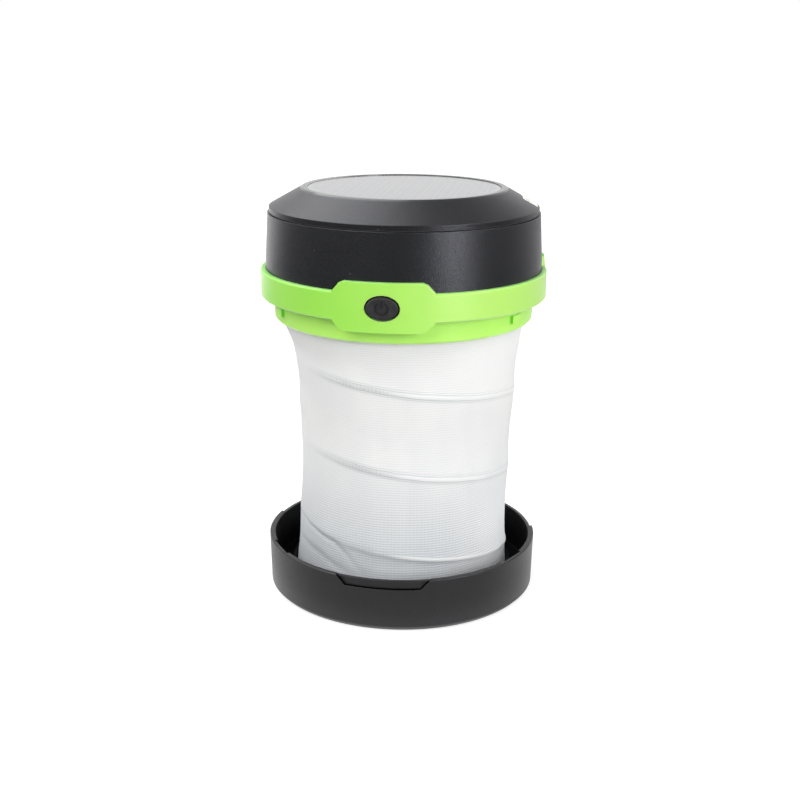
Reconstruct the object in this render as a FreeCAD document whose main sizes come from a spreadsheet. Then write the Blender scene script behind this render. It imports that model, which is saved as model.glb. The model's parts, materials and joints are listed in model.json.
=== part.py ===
"""Collapsible camping lantern: a solar head that slides down over a sprung fabric shade into a cup.

The frame is in millimetres, +Z up, with the origin on the table under the lantern's axis.
The power button faces -Y. Every size stands once in the sheet; levels and radii that
follow from others are expressions built from those sizes.
"""
import FreeCAD, Part
import math
import os
import Sketcher

Vector = FreeCAD.Vector
doc = FreeCAD.newDocument("CampingLantern")

# Driving sizes, in millimetres and degrees
SIZES = [
    ("case_radius", "43.6", "body shell outside, at its lower edge"),
    ("shell_taper", "0.8", "body shell narrows by this towards its top, on the radius"),
    ("shell_wall", "2.0", "body shell wall"),
    ("nest_clearance", "0.12", "body shell to the band around it"),
    ("band_wall", "1.53", "green band wall"),
    ("band_height", "8.6", "green band, bottom to top"),
    ("band_chamfer", "0.45", "broken edges of the band"),
    ("tab_rise", "3.2", "tab above the band"),
    ("tab_drop", "2.8", "tab below the band"),
    ("tab_flat_half", "12.4", "half width of a tab at its flat top and bottom"),
    ("tab_band_half", "15.1", "half width of a tab where it meets the band"),
    ("tab_corner", "0.9", "blunted corner of a tab, along each edge"),
    ("flange_thickness", "1.6", "floor of the collar"),
    ("bridge_width", "2.55", "collar floor between the diffuser's seat and the screw holes"),
    ("skirt_drop", "7.1", "collar skirt below the band"),
    ("skirt_wall", "2.1", "collar skirt wall"),
    ("skirt_taper", "0.3", "skirt narrows by this towards its lower edge"),
    ("skirt_chamfer", "0.6", "broken lower edge of the skirt"),
    ("skirt_clearance", "1.05", "skirt to the inside of the cup"),
    ("lug_width", "4.6", "snap lug along the skirt"),
    ("lug_height", "2.4", "snap lug height"),
    ("lug_proud", "0.9", "snap lug proud of the skirt"),
    ("lug_below", "1.7", "top of a lug below the band"),
    ("lug_angle", "92.5", "direction of the first lug"),
    ("lug_clearance", "0.9", "lug to the back of its groove"),
    ("lug_side_gap", "3.6", "lug to the sides of its groove"),
    ("lug_floor_gap", "1.5", "lug to the floor of its groove, closed"),
    ("recess_depth", "0.8", "tab recess in the cup's wall"),
    ("tab_clearance", "0.32", "tab to the wall of its recess"),
    ("tab_side_gap", "0.4", "tab to the sides of its recess"),
    ("tab_floor_gap", "1.0", "tab to the floor of its recess, closed"),
    ("close_gap", "0.8", "cup rim to the band, closed"),
    ("travel", "79.8", "how far the head slides down"),
    ("cup_height", "16.9", "cup rim above the table"),
    ("cup_wall", "1.85", "cup wall at the rim"),
    ("cup_taper", "0.4", "cup narrows by this towards the table"),
    ("cup_chamfer", "0.3", "broken edges of the rim"),
    ("cup_floor", "1.8", "cup floor thickness"),
    ("floor_lift", "1.6", "cup floor above the table"),
    ("foot_width", "3.0", "ring that the cup stands on"),
    ("foot_chamfer", "1.0", "broken lower edge of the cup"),
    ("rib_height", "3.5", "hem rib above the cup floor"),
    ("rib_width", "1.4", "hem rib wall"),
    ("cloth", "0.6", "fabric thickness"),
    ("cloth_clearance", "0.3", "hems to what clamps them"),
    ("waist_radius", "33.6", "fabric outside, at its waist"),
    ("base_hem_radius", "35.0", "fabric outside, at its lower hem"),
    ("top_fall", "14.0", "height over which the upper flare dies away"),
    ("base_fall", "20.0", "height over which the lower flare dies away"),
    ("clamp_width", "2.6", "upper clamp ring, on the radius"),
    ("clamp_height", "6.0", "upper clamp ring"),
    ("wire", "1.5", "spring wire diameter"),
    ("wire_clearance", "0.3", "spring to the fabric around it"),
    ("seat_gap", "0.25", "end coils to their seats"),
    ("coil_turns", "3.2", "active turns of the spring"),
    ("dead_turns", "0.5", "flat part turn at each end of the spring"),
    ("ramp_turns", "0.25", "part turn over which a flat end takes up the pitch"),
    ("coil_angle", "-18.4", "direction of the spring's lower end"),
    ("stop_width", "2.0", "stop for a spring end, along the wire"),
    ("stop_depth", "2.4", "stop for a spring end, on the radius"),
    ("plate_thickness", "1.6", "base plate"),
    ("base_boss_radius", "3.2", "base plate boss"),
    ("base_boss_height", "4.4", "base plate boss above the plate"),
    ("base_boss_circle", "22.0", "base plate bosses from the axis"),
    ("base_screw_shank", "1.3", "base screw shank radius"),
    ("base_screw_length", "7.0", "base screw under its head"),
    ("base_screw_head", "2.3", "base screw head radius"),
    ("base_head_height", "1.2", "base screw head"),
    ("thread_clearance", "0.06", "screw to its bore"),
    ("hole_clearance", "0.3", "screw to a hole that it passes through"),
    ("bore_depth_over", "0.8", "bore deeper than its screw"),
    ("deck_thickness", "1.5", "light deck"),
    ("deck_clearance", "0.6", "light deck to the body shell"),
    ("diffuser_wall", "1.5", "diffuser wall"),
    ("diffuser_clearance", "0.3", "diffuser in the light opening"),
    ("diffuser_lip", "2.0", "diffuser lip, on the radius"),
    ("diffuser_lip_thickness", "0.9", "diffuser lip"),
    ("diffuser_gap", "1.3", "diffuser to the base bosses, closed"),
    ("led_board_clearance", "2.7", "LED board inside the diffuser"),
    ("led_board_thickness", "1.6", "LED board"),
    ("led_count", "8", "LED chips"),
    ("led_margin", "7.0", "LED chips inside the LED board's edge"),
    ("led_size", "3.5", "LED chip side"),
    ("led_height", "0.8", "LED chip height"),
    ("led_screw_spread", "6.0", "LED board screws from the axis"),
    ("small_shank", "0.95", "small screw shank radius"),
    ("small_head", "1.8", "small screw head radius"),
    ("small_head_height", "1.0", "small screw head"),
    ("small_length", "5.0", "board screw under its head"),
    ("screw_shank", "1.45", "housing screw shank radius"),
    ("screw_head", "2.2", "housing screw head radius"),
    ("screw_head_height", "1.9", "housing screw head"),
    ("screw_length", "11.5", "housing screw under its head"),
    ("screw_gap", "0.4", "housing screw head to the clamp ring"),
    ("boss_radius", "2.9", "body shell boss"),
    ("web_width", "2.4", "web between boss and wall"),
    ("web_root", "1.2", "web root inside the wall"),
    ("cell_diameter", "18.4", "battery cell"),
    ("cell_length", "65.0", "battery cell"),
    ("cell_clearance", "0.3", "battery cell in its holder"),
    ("holder_floor", "1.6", "battery holder floor"),
    ("holder_wall", "1.4", "battery holder walls"),
    ("contact_thickness", "0.5", "battery contact"),
    ("contact_half", "5.5", "half width of a battery contact"),
    ("contact_rise", "6.0", "battery contact above and below the cell's axis"),
    ("board_headroom", "2.9", "battery cell to the main board"),
    ("board_thickness", "1.6", "main board"),
    ("board_clearance", "1.5", "main board to the bezel's spigot"),
    ("board_over_seam", "0.3", "main board above the body shell's top"),
    ("chip_height", "1.4", "parts on the main board"),
    ("chip_length", "6.0", "parts on the main board"),
    ("chip_width", "5.0", "parts on the main board"),
    ("chip_circle", "14.0", "parts on the main board, from the axis"),
    ("seam_gap", "0.12", "parting line between bezel and body shell"),
    ("lip_inset", "0.5", "bezel lip inside the body shell's top, on the radius"),
    ("lip_height", "1.68", "bezel lip"),
    ("bevel_rise", "5.9", "bevel, bottom to top"),
    ("bevel_run", "10.44", "bevel, on the radius"),
    ("rim_width", "1.6", "flat rim round the panel"),
    ("bezel_wall", "2.05", "bezel wall, measured upright"),
    ("ledge_width", "3.7", "ledge under the panel"),
    ("ledge_thickness", "1.5", "ledge under the panel"),
    ("panel_recess", "0.25", "panel below the rim"),
    ("panel_thickness", "1.8", "solar panel"),
    ("panel_clearance", "0.15", "panel in its window"),
    ("spigot_depth", "2.0", "bezel spigot below the seam"),
    ("spigot_wall", "1.8", "bezel spigot"),
    ("spigot_clearance", "0.3", "bezel spigot in the body shell"),
    ("port_angle", "98.0", "charging port, turned from the button"),
    ("port_clearance", "0.15", "port trim in its pocket"),
    ("trim_width", "10.6", "port trim across"),
    ("trim_lift", "0.2", "port trim above the main board"),
    ("trim_roof", "0.45", "port trim over its slot"),
    ("slot_width", "7.4", "plug slot in the trim"),
    ("slot_height", "2.0", "plug slot in the trim"),
    ("socket_width", "7.5", "charging socket across"),
    ("socket_height", "2.6", "charging socket"),
    ("socket_depth", "5.6", "charging socket, mouth to back"),
    ("socket_wall", "0.3", "charging socket shell"),
    ("socket_setback", "0.95", "socket mouth behind the bevel, under the trim's roof"),
    ("tongue_width", "4.8", "socket tongue across"),
    ("tongue_height", "0.6", "socket tongue"),
    ("tongue_depth", "4.2", "socket tongue, from the socket's back"),
    ("button_width", "9.6", "power button across"),
    ("button_height", "6.8", "power button"),
    ("button_up", "4.4", "button centre above the band's lower edge"),
    ("button_proud", "0.5", "button proud of its tab"),
    ("button_round", "0.6", "rounded edge of the button's face"),
    ("button_clearance", "0.42", "button in its hole"),
    ("button_travel", "0.5", "button press"),
    ("ear_half", "7.0", "half width of the button's ears"),
    ("ear_height", "4.5", "button ears"),
    ("ear_thickness", "1.4", "button ears"),
    ("ear_gap", "0.5", "button ears to the body shell"),
    ("ear_lift", "0.35", "button ears above the light deck"),
    ("neck_half", "4.0", "half width of the button's neck"),
    ("stem_radius", "2.0", "button stem"),
    ("stem_length", "1.5", "button stem"),
    ("switch_size", "6.0", "push switch, square"),
    ("switch_depth", "3.5", "push switch"),
    ("switch_lift", "0.4", "push switch above the light deck"),
    ("plunger_radius", "1.7", "switch plunger"),
    ("plunger_length", "1.5", "switch plunger outside the switch"),
    ("plunger_inset", "1.0", "switch plunger inside the switch"),
    ("plunger_clearance", "0.15", "switch plunger in its bore"),
    ("switch_board_width", "11.0", "switch board"),
    ("switch_board_height", "8.4", "switch board"),
    ("switch_board_thickness", "1.2", "switch board"),
    ("post_side", "1.4", "posts that hold the switch board"),
    ("post_height", "5.0", "posts that hold the switch board"),
    ("post_clearance", "0.1", "switch board between its posts"),
    ("lead_radius", "0.6", "insulated lead"),
    ("lead_clearance", "0.4", "lead in a hole"),
    ("lead_spread", "2.5", "leads of a pair, from the middle"),
    ("led_lead_margin", "6.0", "LED leads inside the LED board's edge"),
]
sheet = doc.addObject("Spreadsheet::Sheet", "Sizes")
for row, (alias, number, meaning) in enumerate(SIZES, start=1):
    sheet.set(f"A{row}", meaning)
    sheet.set(f"B{row}", number)
    sheet.setAlias(f"B{row}", alias)
doc.recompute()

# Radii that follow, from the body shell outwards and then inwards
BAND_INNER = "(Sizes.case_radius + Sizes.nest_clearance)"
BAND_RADIUS = f"({BAND_INNER} + Sizes.band_wall)"
RECESS_RADIUS = f"({BAND_INNER} - Sizes.tab_clearance)"
CUP_RADIUS = f"({RECESS_RADIUS} + Sizes.recess_depth)"
CUP_INNER = f"({CUP_RADIUS} - Sizes.cup_wall)"
SKIRT_RADIUS = f"({CUP_INNER} - Sizes.skirt_clearance)"
SKIRT_INNER = f"({SKIRT_RADIUS} - Sizes.skirt_wall)"
TOP_HEM = f"({SKIRT_INNER} - Sizes.cloth_clearance)"
CLAMP_OUTER = f"({TOP_HEM} - Sizes.cloth - Sizes.cloth_clearance)"
CLAMP_INNER = f"({CLAMP_OUTER} - Sizes.clamp_width)"
BOSS_CIRCLE = f"({CLAMP_INNER} - Sizes.screw_head - Sizes.screw_gap)"
PLATE_RADIUS = "(Sizes.base_hem_radius - Sizes.cloth - Sizes.cloth_clearance)"
RIB_INNER = "(Sizes.base_hem_radius + Sizes.cloth_clearance)"
LUG_RADIUS = f"({SKIRT_RADIUS} + Sizes.lug_proud)"
GROOVE_RADIUS = f"({LUG_RADIUS} + Sizes.lug_clearance)"
SHELL_INNER = "(Sizes.case_radius - Sizes.shell_wall)"
SHELL_TOP_RADIUS = "(Sizes.case_radius - Sizes.shell_taper)"
SHELL_TOP_INNER = f"({SHELL_TOP_RADIUS} - Sizes.shell_wall)"
DECK_RADIUS = f"({SHELL_INNER} - Sizes.deck_clearance)"
COUNTERBORE = f"({BOSS_CIRCLE} - Sizes.screw_shank - Sizes.hole_clearance - Sizes.bridge_width)"
DIFFUSER_RADIUS = f"({COUNTERBORE} - Sizes.diffuser_clearance - Sizes.diffuser_lip)"
OPENING_RADIUS = f"({DIFFUSER_RADIUS} + Sizes.diffuser_clearance)"
LED_BOARD_RADIUS = f"({DIFFUSER_RADIUS} - Sizes.diffuser_wall - Sizes.led_board_clearance)"
LED_CIRCLE = f"({LED_BOARD_RADIUS} - Sizes.led_margin)"
LIP_RADIUS = f"({SHELL_TOP_RADIUS} - Sizes.lip_inset)"
SPIGOT_OUTER = f"({SHELL_TOP_INNER} - Sizes.spigot_clearance)"
SPIGOT_INNER = f"({SPIGOT_OUTER} - Sizes.spigot_wall)"
BOARD_RADIUS = f"({SPIGOT_INNER} - Sizes.board_clearance)"
RIM_RADIUS = f"({LIP_RADIUS} - Sizes.bevel_run)"
WINDOW_RADIUS = f"({RIM_RADIUS} - Sizes.rim_width)"
LEDGE_INNER = f"({WINDOW_RADIUS} - Sizes.ledge_width)"
BEVEL_SLOPE = "(Sizes.bevel_rise / Sizes.bevel_run)"

# Levels that follow, from the table upwards
FLOOR_TOP = "(Sizes.floor_lift + Sizes.cup_floor)"
RIB_TOP = f"({FLOOR_TOP} + Sizes.rib_height)"
PLATE_TOP = f"({FLOOR_TOP} + Sizes.plate_thickness)"
BASE_BOSS_TOP = f"({PLATE_TOP} + Sizes.base_boss_height)"
BAND_BOTTOM = "(Sizes.cup_height + Sizes.close_gap + Sizes.travel)"
BAND_TOP = f"({BAND_BOTTOM} + Sizes.band_height)"
TAB_BOTTOM = f"({BAND_BOTTOM} - Sizes.tab_drop)"
TAB_TOP = f"({BAND_TOP} + Sizes.tab_rise)"
TAB_CLOSED = f"({TAB_BOTTOM} - Sizes.travel)"
RECESS_FLOOR = f"({TAB_CLOSED} - Sizes.tab_floor_gap)"
SKIRT_BOTTOM = f"({BAND_BOTTOM} - Sizes.skirt_drop)"
LUG_TOP = f"({BAND_BOTTOM} - Sizes.lug_below)"
LUG_BOTTOM = f"({LUG_TOP} - Sizes.lug_height)"
GROOVE_FLOOR = f"({LUG_BOTTOM} - Sizes.travel - Sizes.lug_floor_gap)"
CLAMP_BOTTOM = f"({BAND_BOTTOM} - Sizes.clamp_height)"
CLOTH_TOP = f"({BAND_BOTTOM} - Sizes.cloth_clearance)"
FLANGE_TOP = f"({BAND_BOTTOM} + Sizes.flange_thickness)"
DECK_TOP = f"({FLANGE_TOP} + Sizes.deck_thickness)"
LED_BOARD_BOTTOM = f"({FLANGE_TOP} - Sizes.led_board_thickness)"
DIFFUSER_BOTTOM = f"({BASE_BOSS_TOP} + Sizes.travel + Sizes.diffuser_gap)"
CELL_AXIS = f"({DECK_TOP} + Sizes.holder_floor + Sizes.cell_clearance + Sizes.cell_diameter / 2)"
BOARD_BOTTOM = f"({CELL_AXIS} + Sizes.cell_diameter / 2 + Sizes.board_headroom)"
BOARD_TOP = f"({BOARD_BOTTOM} + Sizes.board_thickness)"
SHELL_TOP = f"({BOARD_BOTTOM} - Sizes.board_over_seam)"
LIP_BOTTOM = f"({SHELL_TOP} + Sizes.seam_gap)"
BEVEL_BOTTOM = f"({LIP_BOTTOM} + Sizes.lip_height)"
RIM_TOP = f"({BEVEL_BOTTOM} + Sizes.bevel_rise)"
PANEL_TOP = f"({RIM_TOP} - Sizes.panel_recess)"
PANEL_BOTTOM = f"({PANEL_TOP} - Sizes.panel_thickness)"
LEDGE_BOTTOM = f"({PANEL_BOTTOM} - Sizes.ledge_thickness)"
SPIGOT_BOTTOM = f"({SHELL_TOP} - Sizes.spigot_depth)"
BUTTON_LEVEL = f"({BAND_BOTTOM} + Sizes.button_up)"
SWITCH_LEVEL = f"({DECK_TOP} + Sizes.switch_lift + Sizes.switch_size / 2)"

# Distances in front of the axis, along -Y, from the button in to the switch board
BUTTON_FACE = f"({BAND_RADIUS} + Sizes.button_proud)"
BUTTON_BACK = f"({DECK_RADIUS} + Sizes.button_travel + Sizes.button_clearance + Sizes.ear_gap)"
EAR_FRONT = f"(sqrt({SHELL_INNER}^2 - Sizes.ear_half^2) - Sizes.ear_gap)"
EAR_BACK = f"({EAR_FRONT} - Sizes.ear_thickness)"
STEM_END = f"({EAR_BACK} - Sizes.stem_length)"
SWITCH_FACE = f"({STEM_END} - Sizes.plunger_length)"
SWITCH_BACK = f"({SWITCH_FACE} - Sizes.switch_depth)"
SWITCH_BOARD_BACK = f"({SWITCH_BACK} - Sizes.switch_board_thickness)"

nodes = {}


def value(expression):
    """The present value of an expression, as a number."""
    return float(sheet.evalExpression(expression))


def bind(target, **expressions):
    """Tie properties to expressions; a double underscore stands for a dot."""
    for name, expression in expressions.items():
        target.setExpression(name.replace("__", "."), expression)
    return target


def node(target, label):
    """Name a finished sub-part, and list it for writing."""
    target.Label = label
    nodes[label] = target
    return target


def new_body(name):
    return doc.addObject("PartDesign::Body", name)


def origin_feature(body, role):
    return next(feature for feature in body.Origin.OriginFeatures if feature.Role == role)


def place_sketch(body, name, role, offset):
    """An empty sketch on one of the body's own planes, moved along the plane's normal."""
    sketch = body.newObject("Sketcher::SketchObject", name)
    sketch.AttachmentSupport = [(origin_feature(body, role), "")]
    sketch.MapMode = "FlatFace"
    if offset is not None:
        sketch.setExpression("AttachmentOffset.Base.z", offset)
    return sketch


def pin(sketch, geometry, point, x, y):
    """Hold one point of the sketch at an x and y given as expressions."""
    for kind, expression in (("DistanceX", x), ("DistanceY", y)):
        held = Sketcher.Constraint(kind, -1, 1, geometry, point, value(expression))
        index = sketch.addConstraint(held)
        sketch.setExpression(f"Constraints[{index}]", expression)


def draw_loop(sketch, corners):
    """A closed polygon whose corners are pairs of expressions."""
    first = sketch.GeometryCount
    count = len(corners)
    places = [Vector(value(x), value(y), 0) for x, y in corners]
    for i in range(count):
        sketch.addGeometry(Part.LineSegment(places[i], places[(i + 1) % count]), False)
    for i in range(count):
        sketch.addConstraint(Sketcher.Constraint("Coincident", first + i, 2, first + (i + 1) % count, 1))
    for i, (x, y) in enumerate(corners):
        pin(sketch, first + i, 1, x, y)


def draw_circle(sketch, x, y, radius):
    index = sketch.GeometryCount
    circle = Part.Circle(Vector(value(x), value(y), 0), Vector(0, 0, 1), value(radius))
    sketch.addGeometry(circle, False)
    pin(sketch, index, 3, x, y)
    held = sketch.addConstraint(Sketcher.Constraint("Radius", index, value(radius)))
    sketch.setExpression(f"Constraints[{held}]", radius)


def draw(sketch, loops):
    """Loops are lists of corners, or (x, y, radius) for circles."""
    for loop in loops:
        if isinstance(loop, tuple):
            draw_circle(sketch, *loop)
        else:
            draw_loop(sketch, loop)


def revolve(body, name, loops, kind="Revolution"):
    """A full turn of (radius, level) loops about the lantern's axis."""
    sketch = place_sketch(body, f"{name}_profile", "XZ_Plane", None)
    draw(sketch, loops)
    feature = body.newObject(f"PartDesign::{kind}", name)
    feature.Profile = sketch
    feature.ReferenceAxis = (sketch, ["V_Axis"])
    feature.Angle = 360.0
    doc.recompute()
    return feature


def extrude(body, name, role, loops, offset, length, kind="Pad", back=False):
    """A pad or pocket of loops drawn on a plane at an offset."""
    sketch = place_sketch(body, f"{name}_profile", role, offset)
    draw(sketch, loops)
    feature = body.newObject(f"PartDesign::{kind}", name)
    feature.Profile = sketch
    feature.setExpression("Length", length)
    feature.Reversed = back
    doc.recompute()
    return feature


def cut_down(body, name, loops, level, depth):
    """A pocket that goes down from a level, checked to have removed something."""
    before = body.Shape.Volume
    feature = extrude(body, name, "XY_Plane", loops, level, depth, kind="Pocket")
    if body.Shape.Volume >= before:
        raise RuntimeError(f"{name} removed nothing")
    return feature


def three_times(body, name, originals):
    """Repeat features at thirds of a turn about the axis."""
    pattern = body.newObject("PartDesign::PolarPattern", name)
    pattern.Originals = originals
    pattern.Axis = (origin_feature(body, "Z_Axis"), [""])
    pattern.Angle = 360.0
    pattern.Occurrences = 3
    body.Tip = pattern
    doc.recompute()
    return pattern


def rectangle(low_x, high_x, low_y, high_y):
    return [(low_x, low_y), (high_x, low_y), (high_x, high_y), (low_x, high_y)]


def turned(corners, angle):
    """Corners given as (outward, sideways) at a direction, as x and y."""
    return [
        (f"({u}) * cos({angle}) - ({v}) * sin({angle})", f"({u}) * sin({angle}) + ({v}) * cos({angle})")
        for u, v in corners
    ]


def add_cylinder(name, radius, height, x, y, z):
    """An upright cylinder standing on (x, y, z)."""
    cylinder = doc.addObject("Part::Cylinder", name)
    return bind(
        cylinder,
        Radius=radius,
        Height=height,
        Placement__Base__x=x,
        Placement__Base__y=y,
        Placement__Base__z=z,
    )


def add_box(name, length, width, height, x, y, z):
    """A box whose low corner is at (x, y, z)."""
    box = doc.addObject("Part::Box", name)
    return bind(
        box,
        Length=length,
        Width=width,
        Height=height,
        Placement__Base__x=x,
        Placement__Base__y=y,
        Placement__Base__z=z,
    )


def add_boolean(kind, name, base, tool):
    result = doc.addObject(f"Part::{kind}", name)
    result.Base = base
    result.Tool = tool
    return result


def add_group(name, members):
    """Separate solids that share one node."""
    group = doc.addObject("Part::Compound", name)
    group.Links = members
    return group


def add_screws(name, places, seat, shank, length, head, head_height, head_below):
    """Pan head screws on a seat level, heads below it and shanks up, or the other way round."""
    screws = []
    for i, (x, y) in enumerate(places):
        head_level = f"{seat} - {head_height}" if head_below else seat
        shank_level = seat if head_below else f"{seat} - {length}"
        head_part = add_cylinder(f"{name}_head_{i}", head, head_height, x, y, head_level)
        shank_part = add_cylinder(f"{name}_shank_{i}", shank, length, x, y, shank_level)
        screws.append(add_boolean("Fuse", f"{name}_{i}", head_part, shank_part))
    return add_group(name, screws)


def circle_places(radius, angles):
    return [(f"{radius} * cos({angle})", f"{radius} * sin({angle})") for angle in angles]


# Base cup: outer wall with a taper, floor on a foot ring, hem rib, tab recesses and lug grooves
base_cup = new_body("BaseCup")
foot_outer = f"({CUP_RADIUS} - Sizes.cup_taper)"
foot_inner = f"({foot_outer} - Sizes.foot_chamfer - Sizes.foot_width)"
rib_outer = f"({RIB_INNER} + Sizes.rib_width)"
revolve(base_cup, "CupWall", [[
    ("0", "Sizes.floor_lift"),
    (foot_inner, "Sizes.floor_lift"),
    (foot_inner, "0"),
    (f"{foot_outer} - Sizes.foot_chamfer", "0"),
    (foot_outer, "Sizes.foot_chamfer"),
    (CUP_RADIUS, "Sizes.cup_height - Sizes.cup_chamfer"),
    (f"{CUP_RADIUS} - Sizes.cup_chamfer", "Sizes.cup_height"),
    (f"{CUP_INNER} + Sizes.cup_chamfer", "Sizes.cup_height"),
    (CUP_INNER, "Sizes.cup_height - Sizes.cup_chamfer"),
    (CUP_INNER, FLOOR_TOP),
    (rib_outer, FLOOR_TOP),
    (rib_outer, RIB_TOP),
    (RIB_INNER, RIB_TOP),
    (RIB_INNER, FLOOR_TOP),
    ("0", FLOOR_TOP),
]])
tab_slope = "((Sizes.tab_band_half - Sizes.tab_flat_half) / Sizes.tab_drop)"
recess_low = f"(Sizes.tab_flat_half + Sizes.tab_side_gap - {tab_slope} * Sizes.tab_floor_gap)"
recess_over = f"(Sizes.cup_height + Sizes.tab_drop)"
recess_high = f"({recess_low} + {tab_slope} * ({recess_over} - {RECESS_FLOOR}))"
recess = extrude(
    base_cup, "TabRecess", "XZ_Plane",
    [[
        (f"-{recess_low}", RECESS_FLOOR),
        (recess_low, RECESS_FLOOR),
        (recess_high, recess_over),
        (f"-{recess_high}", recess_over),
    ]],
    f"{CUP_INNER} * 0.8", f"{CUP_RADIUS} - {CUP_INNER} * 0.8 + Sizes.cup_wall", kind="Pocket", back=True,
)
three_times(base_cup, "TabRecesses", [recess])
revolve(base_cup, "RecessWall", [rectangle(
    CUP_INNER, RECESS_RADIUS, f"{RECESS_FLOOR} - Sizes.cup_chamfer", "Sizes.cup_height - Sizes.cup_chamfer",
)])
groove_half = "(Sizes.lug_width / 2 + Sizes.lug_side_gap)"
groove = cut_down(
    base_cup, "LugGroove",
    [turned(
        rectangle(f"{CUP_INNER} - Sizes.cup_wall", GROOVE_RADIUS, f"-{groove_half}", groove_half), "Sizes.lug_angle",
    )],
    "Sizes.cup_height", f"Sizes.cup_height - {GROOVE_FLOOR}",
)
three_times(base_cup, "LugGrooves", [groove])
BASE_SCREW_PLACES = circle_places("Sizes.base_boss_circle", (30, 150, 270))
base_hole = "(Sizes.base_screw_shank + Sizes.hole_clearance)"
cut_down(
    base_cup, "BaseScrewHoles", [(x, y, base_hole) for x, y in BASE_SCREW_PLACES], FLOOR_TOP, "Sizes.cup_floor",
)
node(base_cup, "base_cup")

# Base plate: seats the spring, clamps the lower hem and takes the base screws
COIL_BASE = f"(Sizes.base_hem_radius - Sizes.cloth - Sizes.wire_clearance - Sizes.wire / 2)"
base_plate = new_body("BasePlate")
extrude(base_plate, "PlateDisc", "XY_Plane", [("0", "0", PLATE_RADIUS)], FLOOR_TOP, "Sizes.plate_thickness")
extrude(
    base_plate, "PlateBosses", "XY_Plane", [(x, y, "Sizes.base_boss_radius") for x, y in BASE_SCREW_PLACES],
    FLOOR_TOP, "Sizes.plate_thickness + Sizes.base_boss_height",
)
base_stop = turned(
    rectangle(
        f"{PLATE_RADIUS} - Sizes.stop_depth", f"{PLATE_RADIUS} - Sizes.wire_clearance",
        "Sizes.wire", "Sizes.wire + Sizes.stop_width",
    ),
    "Sizes.coil_angle",
)
extrude(
    base_plate, "PlateStop", "XY_Plane", [base_stop], FLOOR_TOP,
    "Sizes.plate_thickness + Sizes.seat_gap + Sizes.wire",
)
base_bore_depth = "(Sizes.base_screw_length - Sizes.cup_floor + Sizes.bore_depth_over)"
cut_down(
    base_plate, "PlateBores",
    [(x, y, "Sizes.base_screw_shank + Sizes.thread_clearance") for x, y in BASE_SCREW_PLACES],
    f"{FLOOR_TOP} + {base_bore_depth}", base_bore_depth,
)
node(base_plate, "base_plate")

node(add_screws(
    "BaseScrews", BASE_SCREW_PLACES, "Sizes.floor_lift", "Sizes.base_screw_shank", "Sizes.base_screw_length",
    "Sizes.base_screw_head", "Sizes.base_head_height", True,
), "base_screws")

# Collar: band, floor and skirt in one turn, then tabs trimmed to the band's curve, then lugs
collar = new_body("Collar")
lip_seat = f"({FLANGE_TOP} - Sizes.diffuser_lip_thickness)"
skirt_low = f"({SKIRT_RADIUS} - Sizes.skirt_taper)"
revolve(collar, "CollarRing", [[
    (OPENING_RADIUS, BAND_BOTTOM),
    (SKIRT_INNER, BAND_BOTTOM),
    (SKIRT_INNER, SKIRT_BOTTOM),
    (f"{skirt_low} - Sizes.skirt_chamfer", SKIRT_BOTTOM),
    (skirt_low, f"{SKIRT_BOTTOM} + Sizes.skirt_chamfer"),
    (SKIRT_RADIUS, BAND_BOTTOM),
    (f"{BAND_RADIUS} - Sizes.band_chamfer", BAND_BOTTOM),
    (BAND_RADIUS, f"{BAND_BOTTOM} + Sizes.band_chamfer"),
    (BAND_RADIUS, f"{BAND_TOP} - Sizes.band_chamfer"),
    (f"{BAND_RADIUS} - Sizes.band_chamfer", BAND_TOP),
    (BAND_INNER, BAND_TOP),
    (BAND_INNER, FLANGE_TOP),
    (COUNTERBORE, FLANGE_TOP),
    (COUNTERBORE, lip_seat),
    (OPENING_RADIUS, lip_seat),
]])
tab_root = f"({BAND_INNER} * 0.8)"
tab_flat = "(Sizes.tab_flat_half - Sizes.tab_corner)"
tab_run = "(Sizes.tab_band_half - Sizes.tab_flat_half)"
low_out, low_in, high_out, high_in = (
    f"(Sizes.tab_corner * {part} / sqrt({tab_run}^2 + {climb}^2))"
    for climb in ("Sizes.tab_drop", "Sizes.tab_rise") for part in (tab_run, climb)
)
tab = extrude(
    collar, "Tab", "XZ_Plane",
    [[
        (f"-{tab_flat}", TAB_BOTTOM),
        (tab_flat, TAB_BOTTOM),
        (f"Sizes.tab_flat_half + {low_out}", f"{TAB_BOTTOM} + {low_in}"),
        ("Sizes.tab_band_half", BAND_BOTTOM),
        ("Sizes.tab_band_half", BAND_TOP),
        (f"Sizes.tab_flat_half + {high_out}", f"{TAB_TOP} - {high_in}"),
        (tab_flat, TAB_TOP),
        (f"-{tab_flat}", TAB_TOP),
        (f"-Sizes.tab_flat_half - {high_out}", f"{TAB_TOP} - {high_in}"),
        ("-Sizes.tab_band_half", BAND_TOP),
        ("-Sizes.tab_band_half", BAND_BOTTOM),
        (f"-Sizes.tab_flat_half - {low_out}", f"{TAB_BOTTOM} + {low_in}"),
    ]],
    tab_root, f"{BAND_RADIUS} - {tab_root} + Sizes.band_wall",
)
three_times(collar, "Tabs", [tab])
trim_low = f"({TAB_BOTTOM} - Sizes.band_wall)"
trim_high = f"({TAB_TOP} + Sizes.band_wall)"
revolve(collar, "TabTrim", [
    rectangle(BAND_RADIUS, f"{BAND_RADIUS} + Sizes.tab_band_half", trim_low, trim_high),
    rectangle(SKIRT_RADIUS, BAND_INNER, trim_low, BAND_BOTTOM),
    rectangle(f"{tab_root} * 0.9", SKIRT_INNER, trim_low, BAND_BOTTOM),
    rectangle(f"{tab_root} * 0.9", BAND_INNER, FLANGE_TOP, trim_high),
], kind="Groove")
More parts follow.
